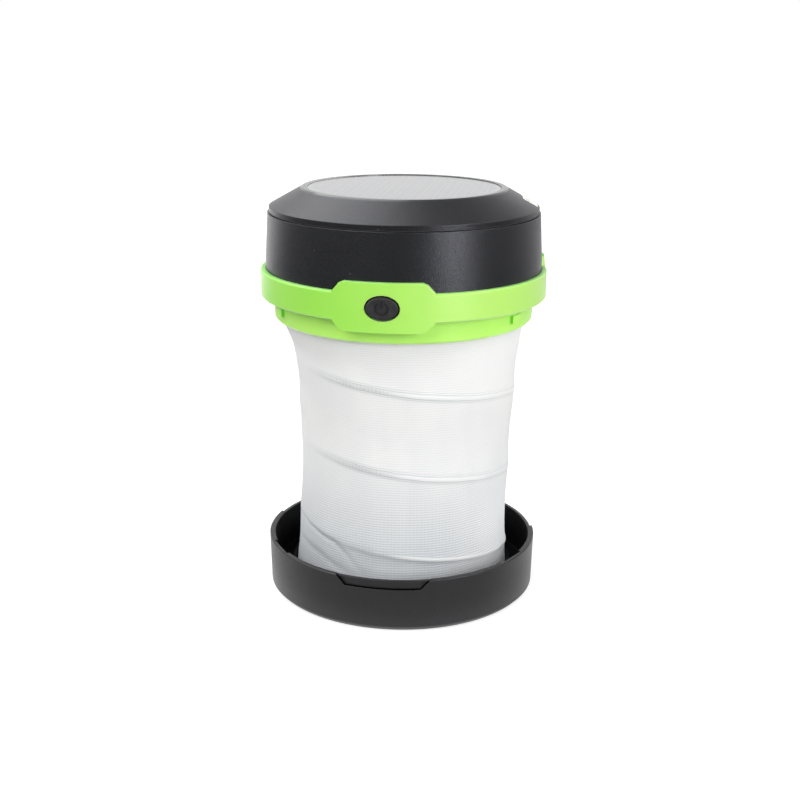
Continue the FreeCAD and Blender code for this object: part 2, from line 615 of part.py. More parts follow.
lug = extrude(
    collar, "Lug", "XY_Plane",
    [turned(rectangle(
        f"{SKIRT_RADIUS} - Sizes.skirt_wall / 2", LUG_RADIUS, "-Sizes.lug_width / 2", "Sizes.lug_width / 2",
    ), "Sizes.lug_angle")],
    LUG_BOTTOM, "Sizes.lug_height",
)
three_times(collar, "Lugs", [lug])
BOSS_PLACES = circle_places(BOSS_CIRCLE, (90, 210, 330))
screw_hole = "(Sizes.screw_shank + Sizes.hole_clearance)"
cut_down(
    collar, "CollarScrewHoles", [(x, y, screw_hole) for x, y in BOSS_PLACES], FLANGE_TOP, "Sizes.flange_thickness",
)

# Hole for the button, through the tab and the body shell behind it
hole_outline = doc.addObject("Part::Ellipse", "ButtonHoleOutline")
bind(
    hole_outline,
    MajorRadius="Sizes.button_width / 2 + Sizes.button_clearance",
    MinorRadius="Sizes.button_height / 2 + Sizes.button_clearance",
    Placement__Base__y=f"-({DECK_RADIUS} + Sizes.nest_clearance / 2)",
    Placement__Base__z=BUTTON_LEVEL,
)
hole_outline.Placement.Rotation = FreeCAD.Rotation(Vector(1, 0, 0), 90)
button_hole = doc.addObject("Part::Extrusion", "ButtonHole")
button_hole.Base = hole_outline
button_hole.Dir = Vector(0, -1, 0)
button_hole.DirMode = "Custom"
button_hole.Solid = True
bind(button_hole, LengthFwd=f"{BUTTON_FACE} - {DECK_RADIUS} + Sizes.band_wall")
node(add_boolean("Cut", "CollarWithHole", collar, button_hole), "collar")

# Body shell: wall upright behind the tabs and tapered above them, screw bosses on webs
shell = new_body("BodyShell")
revolve(shell, "ShellWall", [[
    (SHELL_INNER, FLANGE_TOP),
    ("Sizes.case_radius", FLANGE_TOP),
    ("Sizes.case_radius", TAB_TOP),
    (SHELL_TOP_RADIUS, SHELL_TOP),
    (SHELL_TOP_INNER, SHELL_TOP),
]])
web = extrude(
    shell, "BossWeb", "XY_Plane",
    [rectangle("-Sizes.web_width / 2", "Sizes.web_width / 2", BOSS_CIRCLE, f"{SHELL_TOP_INNER} + Sizes.web_root")],
    DECK_TOP, f"{SPIGOT_BOTTOM} - {DECK_TOP}",
)
boss = extrude(
    shell, "Boss", "XY_Plane", [("0", BOSS_CIRCLE, "Sizes.boss_radius")], DECK_TOP, f"{BOARD_BOTTOM} - {DECK_TOP}",
)
three_times(shell, "Bosses", [web, boss])
boss_bore_depth = "(Sizes.screw_length - Sizes.flange_thickness - Sizes.deck_thickness + Sizes.bore_depth_over)"
cut_down(
    shell, "LowerBores", [(x, y, "Sizes.screw_shank + Sizes.thread_clearance") for x, y in BOSS_PLACES],
    f"{DECK_TOP} + {boss_bore_depth}", boss_bore_depth,
)
cut_down(
    shell, "UpperBores", [(x, y, "Sizes.small_shank + Sizes.thread_clearance") for x, y in BOSS_PLACES],
    BOARD_BOTTOM, "Sizes.small_length - Sizes.board_thickness + Sizes.bore_depth_over",
)
node(add_boolean("Cut", "ShellWithHole", shell, button_hole), "body_shell")

# Housing screws clamp collar floor, light deck and body shell
node(add_screws(
    "HousingScrews", BOSS_PLACES, BAND_BOTTOM, "Sizes.screw_shank", "Sizes.screw_length",
    "Sizes.screw_head", "Sizes.screw_head_height", True,
), "housing_screws")

# Top bezel: flat rim, bevel, lip over the seam, spigot in the shell and a ledge for the panel
bezel = new_body("TopBezel")
ledge_end = f"({RIM_RADIUS} + ({RIM_TOP} - {LEDGE_BOTTOM} - Sizes.bezel_wall) / {BEVEL_SLOPE})"
spigot_root = f"({RIM_TOP} - ({SPIGOT_INNER} - {RIM_RADIUS}) * {BEVEL_SLOPE} - Sizes.bezel_wall)"
revolve(bezel, "BezelRing", [[
    (WINDOW_RADIUS, RIM_TOP),
    (RIM_RADIUS, RIM_TOP),
    (LIP_RADIUS, BEVEL_BOTTOM),
    (LIP_RADIUS, LIP_BOTTOM),
    (SPIGOT_OUTER, LIP_BOTTOM),
    (SPIGOT_OUTER, SPIGOT_BOTTOM),
    (SPIGOT_INNER, SPIGOT_BOTTOM),
    (SPIGOT_INNER, spigot_root),
    (ledge_end, LEDGE_BOTTOM),
    (LEDGE_INNER, LEDGE_BOTTOM),
    (LEDGE_INNER, PANEL_BOTTOM),
    (WINDOW_RADIUS, PANEL_BOTTOM),
]])
PORT_ANGLE = "(Sizes.port_angle - 90)"
SOCKET_TOP = f"({BOARD_TOP} + Sizes.socket_height)"
TRIM_BOTTOM = f"({BOARD_TOP} + Sizes.trim_lift)"
TRIM_TOP = f"({SOCKET_TOP} + Sizes.port_clearance)"
SOCKET_MOUTH = f"({RIM_RADIUS} + ({RIM_TOP} - {TRIM_TOP}) / {BEVEL_SLOPE} - Sizes.socket_setback)"
SOCKET_BACK = f"({SOCKET_MOUTH} - Sizes.socket_depth)"
pocket_half = "(Sizes.trim_width / 2 + Sizes.port_clearance)"
pocket_top = f"({TRIM_TOP} + Sizes.port_clearance)"
cut_down(
    bezel, "PortPocket",
    [turned(rectangle(
        f"{SOCKET_BACK} - Sizes.port_clearance", f"{LIP_RADIUS} + Sizes.trim_width", f"-{pocket_half}", pocket_half,
    ), PORT_ANGLE)],
    pocket_top, f"{pocket_top} - {TRIM_BOTTOM}",
)
node(bezel, "top_bezel")

panel = new_body("SolarPanel")
extrude(
    panel, "PanelDisc", "XY_Plane", [("0", "0", f"{WINDOW_RADIUS} - Sizes.panel_clearance")],
    PANEL_BOTTOM, "Sizes.panel_thickness",
)
node(panel, "solar_panel")

# Port trim: a block trimmed flush with the bevel, with a slot for the plug
trim_block = new_body("TrimBlock")
trim_inner = f"({SOCKET_MOUTH} + Sizes.port_clearance)"
extrude(
    trim_block, "TrimPad", "XY_Plane",
    [turned(rectangle(
        trim_inner, f"{LIP_RADIUS} + Sizes.trim_width", "-Sizes.trim_width / 2", "Sizes.trim_width / 2",
    ), PORT_ANGLE)],
    TRIM_BOTTOM, f"{TRIM_TOP} - {TRIM_BOTTOM}",
)
slot_top = f"({TRIM_TOP} - Sizes.trim_roof)"
cut_down(
    trim_block, "TrimSlot",
    [turned(rectangle(
        f"{trim_inner} - Sizes.trim_width", f"{LIP_RADIUS} + 2 * Sizes.trim_width",
        "-Sizes.slot_width / 2", "Sizes.slot_width / 2",
    ), PORT_ANGLE)],
    slot_top, f"min(Sizes.slot_height; {slot_top} - {TRIM_BOTTOM} - Sizes.socket_wall)",
)
bevel_cone = doc.addObject("Part::Cone", "BevelCone")
bind(
    bevel_cone, Radius1=LIP_RADIUS, Radius2=RIM_RADIUS, Height="Sizes.bevel_rise",
    Placement__Base__z=BEVEL_BOTTOM,
)
node(add_boolean("Common", "PortTrim", trim_block, bevel_cone), "port_trim")

# Charging socket: a drawn shell on the board's edge with a tongue inside
socket = new_body("ChargeSocket")
extrude(
    socket, "SocketPad", "XY_Plane",
    [turned(rectangle(
        SOCKET_BACK, SOCKET_MOUTH, "-Sizes.socket_width / 2", "Sizes.socket_width / 2",
    ), PORT_ANGLE)],
    BOARD_TOP, "Sizes.socket_height",
)
socket_mouth_half = "(Sizes.socket_width / 2 - Sizes.socket_wall)"
mouth_top = f"({SOCKET_TOP} - Sizes.socket_wall)"
cut_down(
    socket, "SocketMouth",
    [turned(rectangle(
        f"{SOCKET_BACK} + Sizes.socket_wall", f"{SOCKET_MOUTH} + Sizes.socket_depth",
        f"-{socket_mouth_half}", socket_mouth_half,
    ), PORT_ANGLE)],
    mouth_top, "Sizes.socket_height - 2 * Sizes.socket_wall",
)
node(socket, "charge_socket")
tongue = new_body("SocketTongue")
extrude(
    tongue, "TonguePad", "XY_Plane",
    [turned(rectangle(
        f"{SOCKET_BACK} + Sizes.socket_wall", f"{SOCKET_BACK} + Sizes.socket_wall + Sizes.tongue_depth",
        "-Sizes.tongue_width / 2", "Sizes.tongue_width / 2",
    ), PORT_ANGLE)],
    f"{BOARD_TOP} + Sizes.socket_height / 2", "Sizes.tongue_height",
)
node(tongue, "socket_tongue")

# Main board on the bosses, with its parts and screws
board = new_body("MainBoard")
extrude(board, "BoardDisc", "XY_Plane", [("0", "0", BOARD_RADIUS)], BOARD_BOTTOM, "Sizes.board_thickness")
cut_down(
    board, "BoardHoles", [(x, y, "Sizes.small_shank + Sizes.hole_clearance") for x, y in BOSS_PLACES],
    BOARD_TOP, "Sizes.board_thickness",
)
node(board, "main_board")
node(add_screws(
    "BoardScrews", BOSS_PLACES, BOARD_TOP, "Sizes.small_shank", "Sizes.small_length",
    "Sizes.small_head", "Sizes.small_head_height", False,
), "board_screws")
chips = [
    add_box(
        f"Chip_{i}", "Sizes.chip_length", "Sizes.chip_width", "Sizes.chip_height",
        f"{x} - Sizes.chip_length / 2", f"{y} - Sizes.chip_width / 2", BOARD_TOP,
    )
    for i, (x, y) in enumerate(circle_places("Sizes.chip_circle", (50, 160, 285)))
]
node(add_group("BoardChips", chips), "board_chips")

# Light deck on the collar's floor, with posts for the switch board and holes for screws and leads
deck = new_body("LightDeck")
extrude(deck, "DeckDisc", "XY_Plane", [("0", "0", DECK_RADIUS)], FLANGE_TOP, "Sizes.deck_thickness")
post_in = "(Sizes.switch_board_width / 2 - Sizes.post_side)"
post_out = "(Sizes.switch_board_width / 2)"
front_post = (f"-{SWITCH_BACK} - Sizes.post_clearance - Sizes.post_side", f"-{SWITCH_BACK} - Sizes.post_clearance")
rear_post = (
    f"-{SWITCH_BOARD_BACK} + Sizes.post_clearance", f"-{SWITCH_BOARD_BACK} + Sizes.post_clearance + Sizes.post_side",
)
extrude(
    deck, "SwitchPosts", "XY_Plane",
    [rectangle(low, high, near, far)
     for low, high in ((post_in, post_out), (f"-{post_out}", f"-{post_in}"))
     for near, far in (front_post, rear_post)],
    FLANGE_TOP, "Sizes.deck_thickness + Sizes.post_height",
)
LED_LEAD_LINE = f"({LED_BOARD_RADIUS} - Sizes.led_lead_margin)"
LED_LEAD_PLACES = [("Sizes.lead_spread", LED_LEAD_LINE), ("-Sizes.lead_spread", LED_LEAD_LINE)]
LED_SCREW_PLACES = [("Sizes.led_screw_spread", "0"), ("-Sizes.led_screw_spread", "0")]
cut_down(
    deck, "DeckHoles",
    [(x, y, screw_hole) for x, y in BOSS_PLACES]
    + [(x, y, "Sizes.lead_radius + Sizes.lead_clearance") for x, y in LED_LEAD_PLACES]
    + [(x, y, "Sizes.small_shank + Sizes.thread_clearance") for x, y in LED_SCREW_PLACES],
    DECK_TOP, "Sizes.deck_thickness",
)
node(deck, "light_deck")

# Diffuser bowl in the light opening, its lip held between the collar's floor and the deck
diffuser = new_body("Diffuser")
bowl_inner = f"({DIFFUSER_RADIUS} - Sizes.diffuser_wall)"
bowl_foot = f"({DIFFUSER_RADIUS} - 3 * Sizes.diffuser_wall)"
revolve(diffuser, "Bowl", [[
    ("0", DIFFUSER_BOTTOM),
    (bowl_foot, DIFFUSER_BOTTOM),
    (DIFFUSER_RADIUS, f"{DIFFUSER_BOTTOM} + 2 * Sizes.diffuser_wall"),
    (DIFFUSER_RADIUS, lip_seat),
    (f"{DIFFUSER_RADIUS} + Sizes.diffuser_lip", lip_seat),
    (f"{DIFFUSER_RADIUS} + Sizes.diffuser_lip", FLANGE_TOP),
    (bowl_inner, FLANGE_TOP),
    (bowl_inner, f"{DIFFUSER_BOTTOM} + 2.5 * Sizes.diffuser_wall"),
    (f"{bowl_foot} - 0.5 * Sizes.diffuser_wall", f"{DIFFUSER_BOTTOM} + Sizes.diffuser_wall"),
    ("0", f"{DIFFUSER_BOTTOM} + Sizes.diffuser_wall"),
]])
node(diffuser, "diffuser")

# LED board under the deck, its chips facing down and two screws up into the deck
led_board = new_body("LedBoard")
extrude(
    led_board, "LedDisc", "XY_Plane", [("0", "0", LED_BOARD_RADIUS)],
    LED_BOARD_BOTTOM, "Sizes.led_board_thickness",
)
cut_down(
    led_board, "LedScrewHoles", [(x, y, "Sizes.small_shank + Sizes.hole_clearance") for x, y in LED_SCREW_PLACES],
    FLANGE_TOP, "Sizes.led_board_thickness",
)
node(led_board, "led_board")
led_chips = [
    add_box(
        f"LedChip_{i}", "Sizes.led_size", "Sizes.led_size", "Sizes.led_height",
        f"{LED_CIRCLE} * cos({i} * 360 / Sizes.led_count) - Sizes.led_size / 2",
        f"{LED_CIRCLE} * sin({i} * 360 / Sizes.led_count) - Sizes.led_size / 2",
        f"{LED_BOARD_BOTTOM} - Sizes.led_height",
    )
    for i in range(round(value("Sizes.led_count")))
]
node(add_group("LedChips", led_chips), "led_chips")
node(add_screws(
    "LedScrews", LED_SCREW_PLACES, LED_BOARD_BOTTOM, "Sizes.small_shank",
    "Sizes.led_board_thickness + Sizes.deck_thickness - Sizes.hole_clearance", "Sizes.small_head", "Sizes.small_head_height", True,
), "led_screws")

# Upper clamp ring under the collar's floor, with a stop for the spring's upper end
CLAMP_STOP_ANGLE = (
    "(Sizes.coil_angle - 360 * (Sizes.coil_turns + 2 * Sizes.dead_turns + Sizes.ramp_turns))"
)
clamp = new_body("UpperClampRing")
revolve(clamp, "ClampRing", [rectangle(CLAMP_INNER, CLAMP_OUTER, CLAMP_BOTTOM, BAND_BOTTOM)])
clamp_stop = turned(
    rectangle(
        f"{CLAMP_OUTER} - Sizes.stop_depth", f"{CLAMP_OUTER} - 2 * Sizes.wire_clearance",
        "-(Sizes.wire + Sizes.stop_width)", "-Sizes.wire",
    ),
    CLAMP_STOP_ANGLE,
)
extrude(
    clamp, "ClampStop", "XY_Plane", [clamp_stop], f"{CLAMP_BOTTOM} - Sizes.seat_gap - Sizes.wire",
    f"Sizes.seat_gap + Sizes.wire + Sizes.clamp_height / 2",
)
node(clamp, "upper_clamp_ring")

# Battery: a cell lying along X in a half-round holder, a contact at each end
holder_end = "(Sizes.cell_length / 2 + Sizes.contact_thickness)"
holder_half_length = f"({holder_end} + Sizes.holder_wall)"
holder_half_width = "(Sizes.cell_diameter / 2 + Sizes.cell_clearance + Sizes.holder_wall)"
holder_block = add_box(
    "HolderBlock", f"2 * {holder_half_length}", f"2 * {holder_half_width}", f"{CELL_AXIS} - {DECK_TOP}",
    f"-{holder_half_length}", f"-{holder_half_width}", DECK_TOP,
)


def add_lying_cylinder(name, radius, half_length):
    """A cylinder along X on the cell's axis, centred on the lantern's axis."""
    cylinder = doc.addObject("Part::Cylinder", name)
    cylinder.Placement.Rotation = FreeCAD.Rotation(Vector(0, 1, 0), 90)
    return bind(
        cylinder, Radius=radius, Height=f"2 * {half_length}",
        Placement__Base__x=f"-{half_length}", Placement__Base__z=CELL_AXIS,
    )


holder_trough = add_lying_cylinder(
    "HolderTrough", "Sizes.cell_diameter / 2 + Sizes.cell_clearance", holder_end,
)
node(add_boolean("Cut", "BatteryHolder", holder_block, holder_trough), "battery_holder")
node(add_lying_cylinder("BatteryCell", "Sizes.cell_diameter / 2", "(Sizes.cell_length / 2)"), "battery_cell")
contact_near = "(Sizes.cell_length / 2)"
contacts = [
    add_box(
        f"Contact_{i}", "Sizes.contact_thickness", "2 * Sizes.contact_half", "2 * Sizes.contact_rise",
        x, "-Sizes.contact_half", f"{CELL_AXIS} - Sizes.contact_rise",
    )
    for i, x in enumerate((contact_near, f"-{contact_near} - Sizes.contact_thickness"))
]
node(add_group("BatteryContacts", contacts), "battery_contacts")

# Power button: an oval cap through the tab, a neck, ears behind the shell and a stem to the switch
cap_outline = doc.addObject("Part::Ellipse", "ButtonOutline")
cap_outline.Placement.Rotation = FreeCAD.Rotation(Vector(1, 0, 0), 90)
bind(
    cap_outline, MajorRadius="Sizes.button_width / 2", MinorRadius="Sizes.button_height / 2",
    Placement__Base__y=f"-{BUTTON_BACK}", Placement__Base__z=BUTTON_LEVEL,
)
cap = doc.addObject("Part::Extrusion", "ButtonCap")
cap.Base = cap_outline
cap.Dir = Vector(0, -1, 0)
cap.DirMode = "Custom"
cap.Solid = True
bind(cap, LengthFwd=f"{BUTTON_FACE} - {BUTTON_BACK}")
doc.recompute()
face_edge = max(range(len(cap.Shape.Edges)), key=lambda i: -cap.Shape.Edges[i].CenterOfMass.y) + 1
rounded_cap = doc.addObject("Part::Fillet", "RoundedCap")
rounded_cap.Base = cap
round_radius = min(value("Sizes.button_round"), value("Sizes.button_height") / 4)
rounded_cap.Edges = [(face_edge, round_radius, round_radius)]
ear_bottom = f"({DECK_TOP} + Sizes.ear_lift)"
neck = add_box(
    "ButtonNeck", "2 * Sizes.neck_half", f"{BUTTON_BACK} - {EAR_FRONT} + Sizes.button_clearance",
    "Sizes.ear_height / 2", "-Sizes.neck_half", f"-{BUTTON_BACK} - Sizes.button_clearance", ear_bottom,
)
ears = add_box(
    "ButtonEars", "2 * Sizes.ear_half", "Sizes.ear_thickness", "Sizes.ear_height",
    "-Sizes.ear_half", f"-{EAR_FRONT}", ear_bottom,
)
stem = doc.addObject("Part::Cylinder", "ButtonStem")
stem.Placement.Rotation = FreeCAD.Rotation(Vector(1, 0, 0), 90)
bind(
    stem, Radius="Sizes.stem_radius", Height="Sizes.stem_length + Sizes.ear_thickness / 2",
    Placement__Base__y=f"-{STEM_END}", Placement__Base__z=SWITCH_LEVEL,
)
button = doc.addObject("Part::MultiFuse", "PowerButton")
button.Shapes = [rounded_cap, neck, ears, stem]
node(button, "power_button")

# Push switch on its own upright board, with a plunger that the button's stem pushes
plunger = doc.addObject("Part::Cylinder", "SwitchPlunger")
plunger.Placement.Rotation = FreeCAD.Rotation(Vector(1, 0, 0), 90)
bind(
    plunger, Radius="Sizes.plunger_radius", Height="Sizes.plunger_length + Sizes.plunger_inset",
    Placement__Base__y=f"-({SWITCH_FACE} - Sizes.plunger_inset)", Placement__Base__z=SWITCH_LEVEL,
)
node(plunger, "switch_plunger")
switch_block = add_box(
    "SwitchBlock", "Sizes.switch_size", "Sizes.switch_depth", "Sizes.switch_size",
    "-Sizes.switch_size / 2", f"-{SWITCH_FACE}", f"{SWITCH_LEVEL} - Sizes.switch_size / 2",
)
switch_bore = doc.addObject("Part::Cylinder", "SwitchBore")
switch_bore.Placement.Rotation = FreeCAD.Rotation(Vector(1, 0, 0), 90)
bore_inset = "(Sizes.plunger_inset + Sizes.button_travel + Sizes.plunger_clearance)"
bind(
    switch_bore, Radius="Sizes.plunger_radius + Sizes.plunger_clearance", Height=f"{bore_inset} + Sizes.plunger_length",
    Placement__Base__y=f"-({SWITCH_FACE} - {bore_inset})", Placement__Base__z=SWITCH_LEVEL,
)
node(add_boolean("Cut", "SwitchBody", switch_block, switch_bore), "switch_body")
node(add_box(
    "SwitchBoard", "Sizes.switch_board_width", "Sizes.switch_board_thickness", "Sizes.switch_board_height",
    "-Sizes.switch_board_width / 2", f"-{SWITCH_BACK}", DECK_TOP,
), "switch_board")


# Leads, each pair straight between what it joins
def add_leads(name, places, low, high):
    leads = [
        add_cylinder(f"{name}_{i}", "Sizes.lead_radius", f"({high}) - ({low})", x, y, low)
        for i, (x, y) in enumerate(places)
    ]
    return add_group(name, leads)


switch_lead_line = f"-({SWITCH_BACK} - Sizes.switch_board_thickness / 2)"
contact_lead = f"({contact_near} + Sizes.lead_radius + Sizes.cell_clearance)"
node(add_leads(
    "SolarLeads", [("Sizes.lead_spread", "0"), ("-Sizes.lead_spread", "0")], BOARD_TOP, PANEL_BOTTOM,
), "solar_leads")
node(add_leads(
    "BatteryLeads", [(contact_lead, "0"), (f"-{contact_lead}", "0")],
    f"{CELL_AXIS} + Sizes.contact_rise", BOARD_BOTTOM,
), "battery_leads")
node(add_leads(
    "SwitchLeads", [("Sizes.lead_spread", switch_lead_line), ("-Sizes.lead_spread", switch_lead_line)],
    f"{DECK_TOP} + Sizes.switch_board_height", BOARD_BOTTOM,
), "switch_leads")
node(add_leads("LedLeads", LED_LEAD_PLACES, FLANGE_TOP, BOARD_BOTTOM), "led_leads")


# Fabric shade: hems upright, flares that die away towards the waist
def cloth_radius(level):
    """Outside radius of the fabric between its hems at a level."""
    waist = value("Sizes.waist_radius")
    top_flare = (value(TOP_HEM) - waist) * math.exp((level - value(SKIRT_BOTTOM)) / value("Sizes.top_fall"))
    base_rise = (value(RIB_TOP) - level) / value("Sizes.base_fall")
    base_flare = (value("Sizes.base_hem_radius") - waist) * math.exp(base_rise)
    return waist + top_flare + base_flare


def cloth_curve(inset, spans=8):
    """Arcs through the fabric's outline, moved in by an inset, from the lower hem up."""
    low, high = value(RIB_TOP), value(SKIRT_BOTTOM)
    ends = {low: value("Sizes.base_hem_radius"), high: value(TOP_HEM)}
    levels = [low + (high - low) * i / (2 * spans) for i in range(2 * spans)] + [high]
    points = [Vector(ends.get(level, cloth_radius(level)) - inset, 0, level) for level in levels]
    return points, [Part.Arc(*points[2 * i:2 * i + 3]).toShape() for i in range(spans)]


outer_points, outer_arcs = cloth_curve(0.0)
inner_points, inner_arcs = cloth_curve(value("Sizes.cloth"))


def line(start, end):
    return Part.LineSegment(start, end).toShape()


cloth_low, cloth_high = value(FLOOR_TOP), value(CLOTH_TOP)
corners = [
    Vector(points[i].x, 0, level)
    for points, i, level in (
        (outer_points, 0, cloth_low), (outer_points, -1, cloth_high),
        (inner_points, -1, cloth_high), (inner_points, 0, cloth_low),
    )
]
outline = Part.Wire(Part.__sortEdges__(
    [line(corners[0], outer_points[0]), *outer_arcs, line(outer_points[-1], corners[1])]
    + [line(corners[1], corners[2]), line(corners[2], inner_points[-1]), *inner_arcs]
    + [line(inner_points[0], corners[3]), line(corners[3], corners[0])]
))
shade = doc.addObject("Part::Feature", "ShadeFabric")
shade.Shape = Part.Face(outline).revolve(Vector(0, 0, 0), Vector(0, 0, 1), 360)
node(shade, "shade_fabric")

# Coil spring: one left-handed wire with a flat part turn at each end, on arcs a quarter turn long
COIL_LOW = f"({PLATE_TOP} + Sizes.seat_gap + Sizes.wire / 2)"
COIL_HIGH = f"({CLAMP_BOTTOM} - Sizes.seat_gap - Sizes.wire / 2)"


def coil_level(turn):
    """Level of the wire after a number of turns: flat, ramp, even pitch, ramp, flat."""
    dead, ramp, active = (value(f"Sizes.{name}_turns") for name in ("dead", "ramp", "coil"))
    low, high = value(COIL_LOW), value(COIL_HIGH)
    pitch = (high - low) / active
    whole = active + 2 * dead + ramp

    def climbed(t):
        s = min(max(t - dead, 0.0), ramp)
        return s * s / (2 * ramp) + max(t - dead - ramp, 0.0)

    if turn <= whole / 2:
        return low + pitch * climbed(turn)
    return high - pitch * climbed(whole - turn)


def coil_point(turn):
    """Centre of the wire after a number of turns up from its lower end."""
    level = coil_level(turn)
    inset = value("Sizes.cloth + Sizes.wire_clearance + Sizes.wire / 2")
    radius = min(cloth_radius(level), value(TOP_HEM)) - inset
    angle = math.radians(value("Sizes.coil_angle") - 360 * turn)
    return Vector(radius * math.cos(angle), radius * math.sin(angle), level)


def arc_in_corner(start, corner, end):
    """The arc that touches two equal lines from a corner at their far ends."""
    share = (end - start).Length / 2 / (corner - start).Length
    middle = (start + end + corner * (2 * share)) * (1 / (2 + 2 * share))
    return Part.Arc(start, middle, end).toShape()


def biarc(start, leave, end, arrive):
    """Two arcs from start to end with given unit directions, meeting smoothly."""
    across = end - start
    along = leave + arrive
    turn = 2 * (1 - leave.dot(arrive))
    reach = (-across.dot(along) + math.sqrt(across.dot(along) ** 2 + turn * across.dot(across))) / turn
    first, last = start + leave * reach, end - arrive * reach
    joint = (first + last) * 0.5
    return [arc_in_corner(start, first, joint), arc_in_corner(joint, last, end)]


whole_turns = value("Sizes.coil_turns + 2 * Sizes.dead_turns + Sizes.ramp_turns")
spans = math.ceil(4 * whole_turns)
knots = [whole_turns * i / spans for i in range(spans + 1)]
small = 1e-4
directions = [(coil_point(t + small) - coil_point(t - small)).normalize() for t in knots]
places = [coil_point(t) for t in knots]
wire_size = value("Sizes.wire")
for i in (0, -1):
    directions[i] = Vector(directions[i].x, directions[i].y, 0).normalize()
wire_start = places[0] - directions[0] * wire_size
wire_end = places[-1] + directions[-1] * wire_size
edges = [line(wire_start, places[0])]
for i in range(spans):
    edges += biarc(places[i], directions[i], places[i + 1], directions[i + 1])
edges.append(line(places[-1], wire_end))
route = Part.Wire(edges)
section = Part.Wire([Part.Circle(wire_start, directions[0], wire_size / 2).toShape()])
pipe = Part.BRepOffsetAPI.MakePipeShell(route)
pipe.add(section)
pipe.build()
pipe.makeSolid()
spring = doc.addObject("Part::Feature", "CoilSpring")
spring.Shape = pipe.shape()
node(spring, "coil_spring")


def least_gap(steps=80):
    """Least distance between the wire's surface and itself, a half turn or more away."""
    count = int(whole_turns * steps)
    points = [coil_point(whole_turns * i / count) for i in range(count + 1)]
    apart = steps // 2
    return min(
        (points[i] - points[j]).Length
        for i in range(0, count + 1, 2)
        for j in range(i + apart, count + 1)
    ) - wire_size


doc.recompute()

# Nothing is written unless every object is sound
broken = [item.Label for item in doc.Objects if {"Invalid", "Error"} & set(item.State)]
broken += [label for label, item in nodes.items() if item.Shape.isNull() or not item.Shape.isValid()]
if broken:
    raise RuntimeError("unsound: " + ", ".join(sorted(set(broken))))
wire_volume = math.pi * wire_size ** 2 / 4 * route.Length
print(f"spring: least gap to itself {least_gap():.2f} mm, volume {spring.Shape.Volume / wire_volume:.4f} of its wire")
os.makedirs("parts", exist_ok=True)
for label, item in nodes.items():
    item.Shape.exportStep(f"parts/{label}.step")
print(f"{len(nodes)} nodes, overall height {value(RIM_TOP):.2f} mm, band diameter {2 * value(BAND_RADIUS):.2f} mm")
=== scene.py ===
"""Looks of the pop-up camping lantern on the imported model's frame: metres, z up, button towards -y."""
import json
import math

import bpy
import numpy as np
from mathutils import Matrix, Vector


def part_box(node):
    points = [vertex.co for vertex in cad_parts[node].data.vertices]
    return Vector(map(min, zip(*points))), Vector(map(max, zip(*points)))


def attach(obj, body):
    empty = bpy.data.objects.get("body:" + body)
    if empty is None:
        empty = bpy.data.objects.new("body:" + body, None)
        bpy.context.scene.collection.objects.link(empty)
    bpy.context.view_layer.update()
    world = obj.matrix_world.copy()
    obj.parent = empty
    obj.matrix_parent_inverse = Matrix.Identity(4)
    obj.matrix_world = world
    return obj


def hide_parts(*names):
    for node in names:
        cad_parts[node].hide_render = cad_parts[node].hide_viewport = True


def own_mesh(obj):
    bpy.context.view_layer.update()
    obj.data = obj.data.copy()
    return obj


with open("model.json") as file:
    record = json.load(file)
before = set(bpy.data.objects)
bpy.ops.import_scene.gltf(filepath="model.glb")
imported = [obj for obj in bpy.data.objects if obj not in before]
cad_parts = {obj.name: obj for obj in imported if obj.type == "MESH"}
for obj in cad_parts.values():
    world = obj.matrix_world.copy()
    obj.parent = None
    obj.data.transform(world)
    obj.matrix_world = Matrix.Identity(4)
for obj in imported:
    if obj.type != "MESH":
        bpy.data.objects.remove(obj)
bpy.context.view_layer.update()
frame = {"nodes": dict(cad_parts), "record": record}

MM = 0.001
WHITE = (1, 1, 1, 1)


# Shader arithmetic
class Value:
    """A socket that takes part in arithmetic: each operator adds its Math node."""

    def __init__(self, paint, socket):
        self.paint, self.socket = paint, socket

    def math(self, operation, *others):
        return self.paint.node("ShaderNodeMath", {"operation": operation}, self, *others)[0]

    def __add__(self, other):
        return self.math("ADD", other)

    def __sub__(self, other):
        return self.math("SUBTRACT", other)

    def __rsub__(self, other):
        return self.paint.node("ShaderNodeMath", {"operation": "SUBTRACT"}, other, self)[0]

    def __mul__(self, other):
        return self.math("MULTIPLY", other)

    def __truediv__(self, other):
        return self.math("DIVIDE", other)

    def __rtruediv__(self, other):
        return self.paint.node("ShaderNodeMath", {"operation": "DIVIDE"}, other, self)[0]

    __radd__, __rmul__ = __add__, __mul__

    def ramp(self, low, high, start=0.0, end=1.0):
        """Start below low, end above high, and a smooth step between them."""
        settings = {"interpolation_type": "SMOOTHSTEP"}
        return self.paint.node("ShaderNodeMapRange", settings, self, low, high, start, end)[0]

    def wave(self, pitch):
        """Sine wave from 0 to 1 that repeats after every pitch."""
        return (self * (2 * math.pi / pitch)).math("SINE") * 0.5 + 0.5


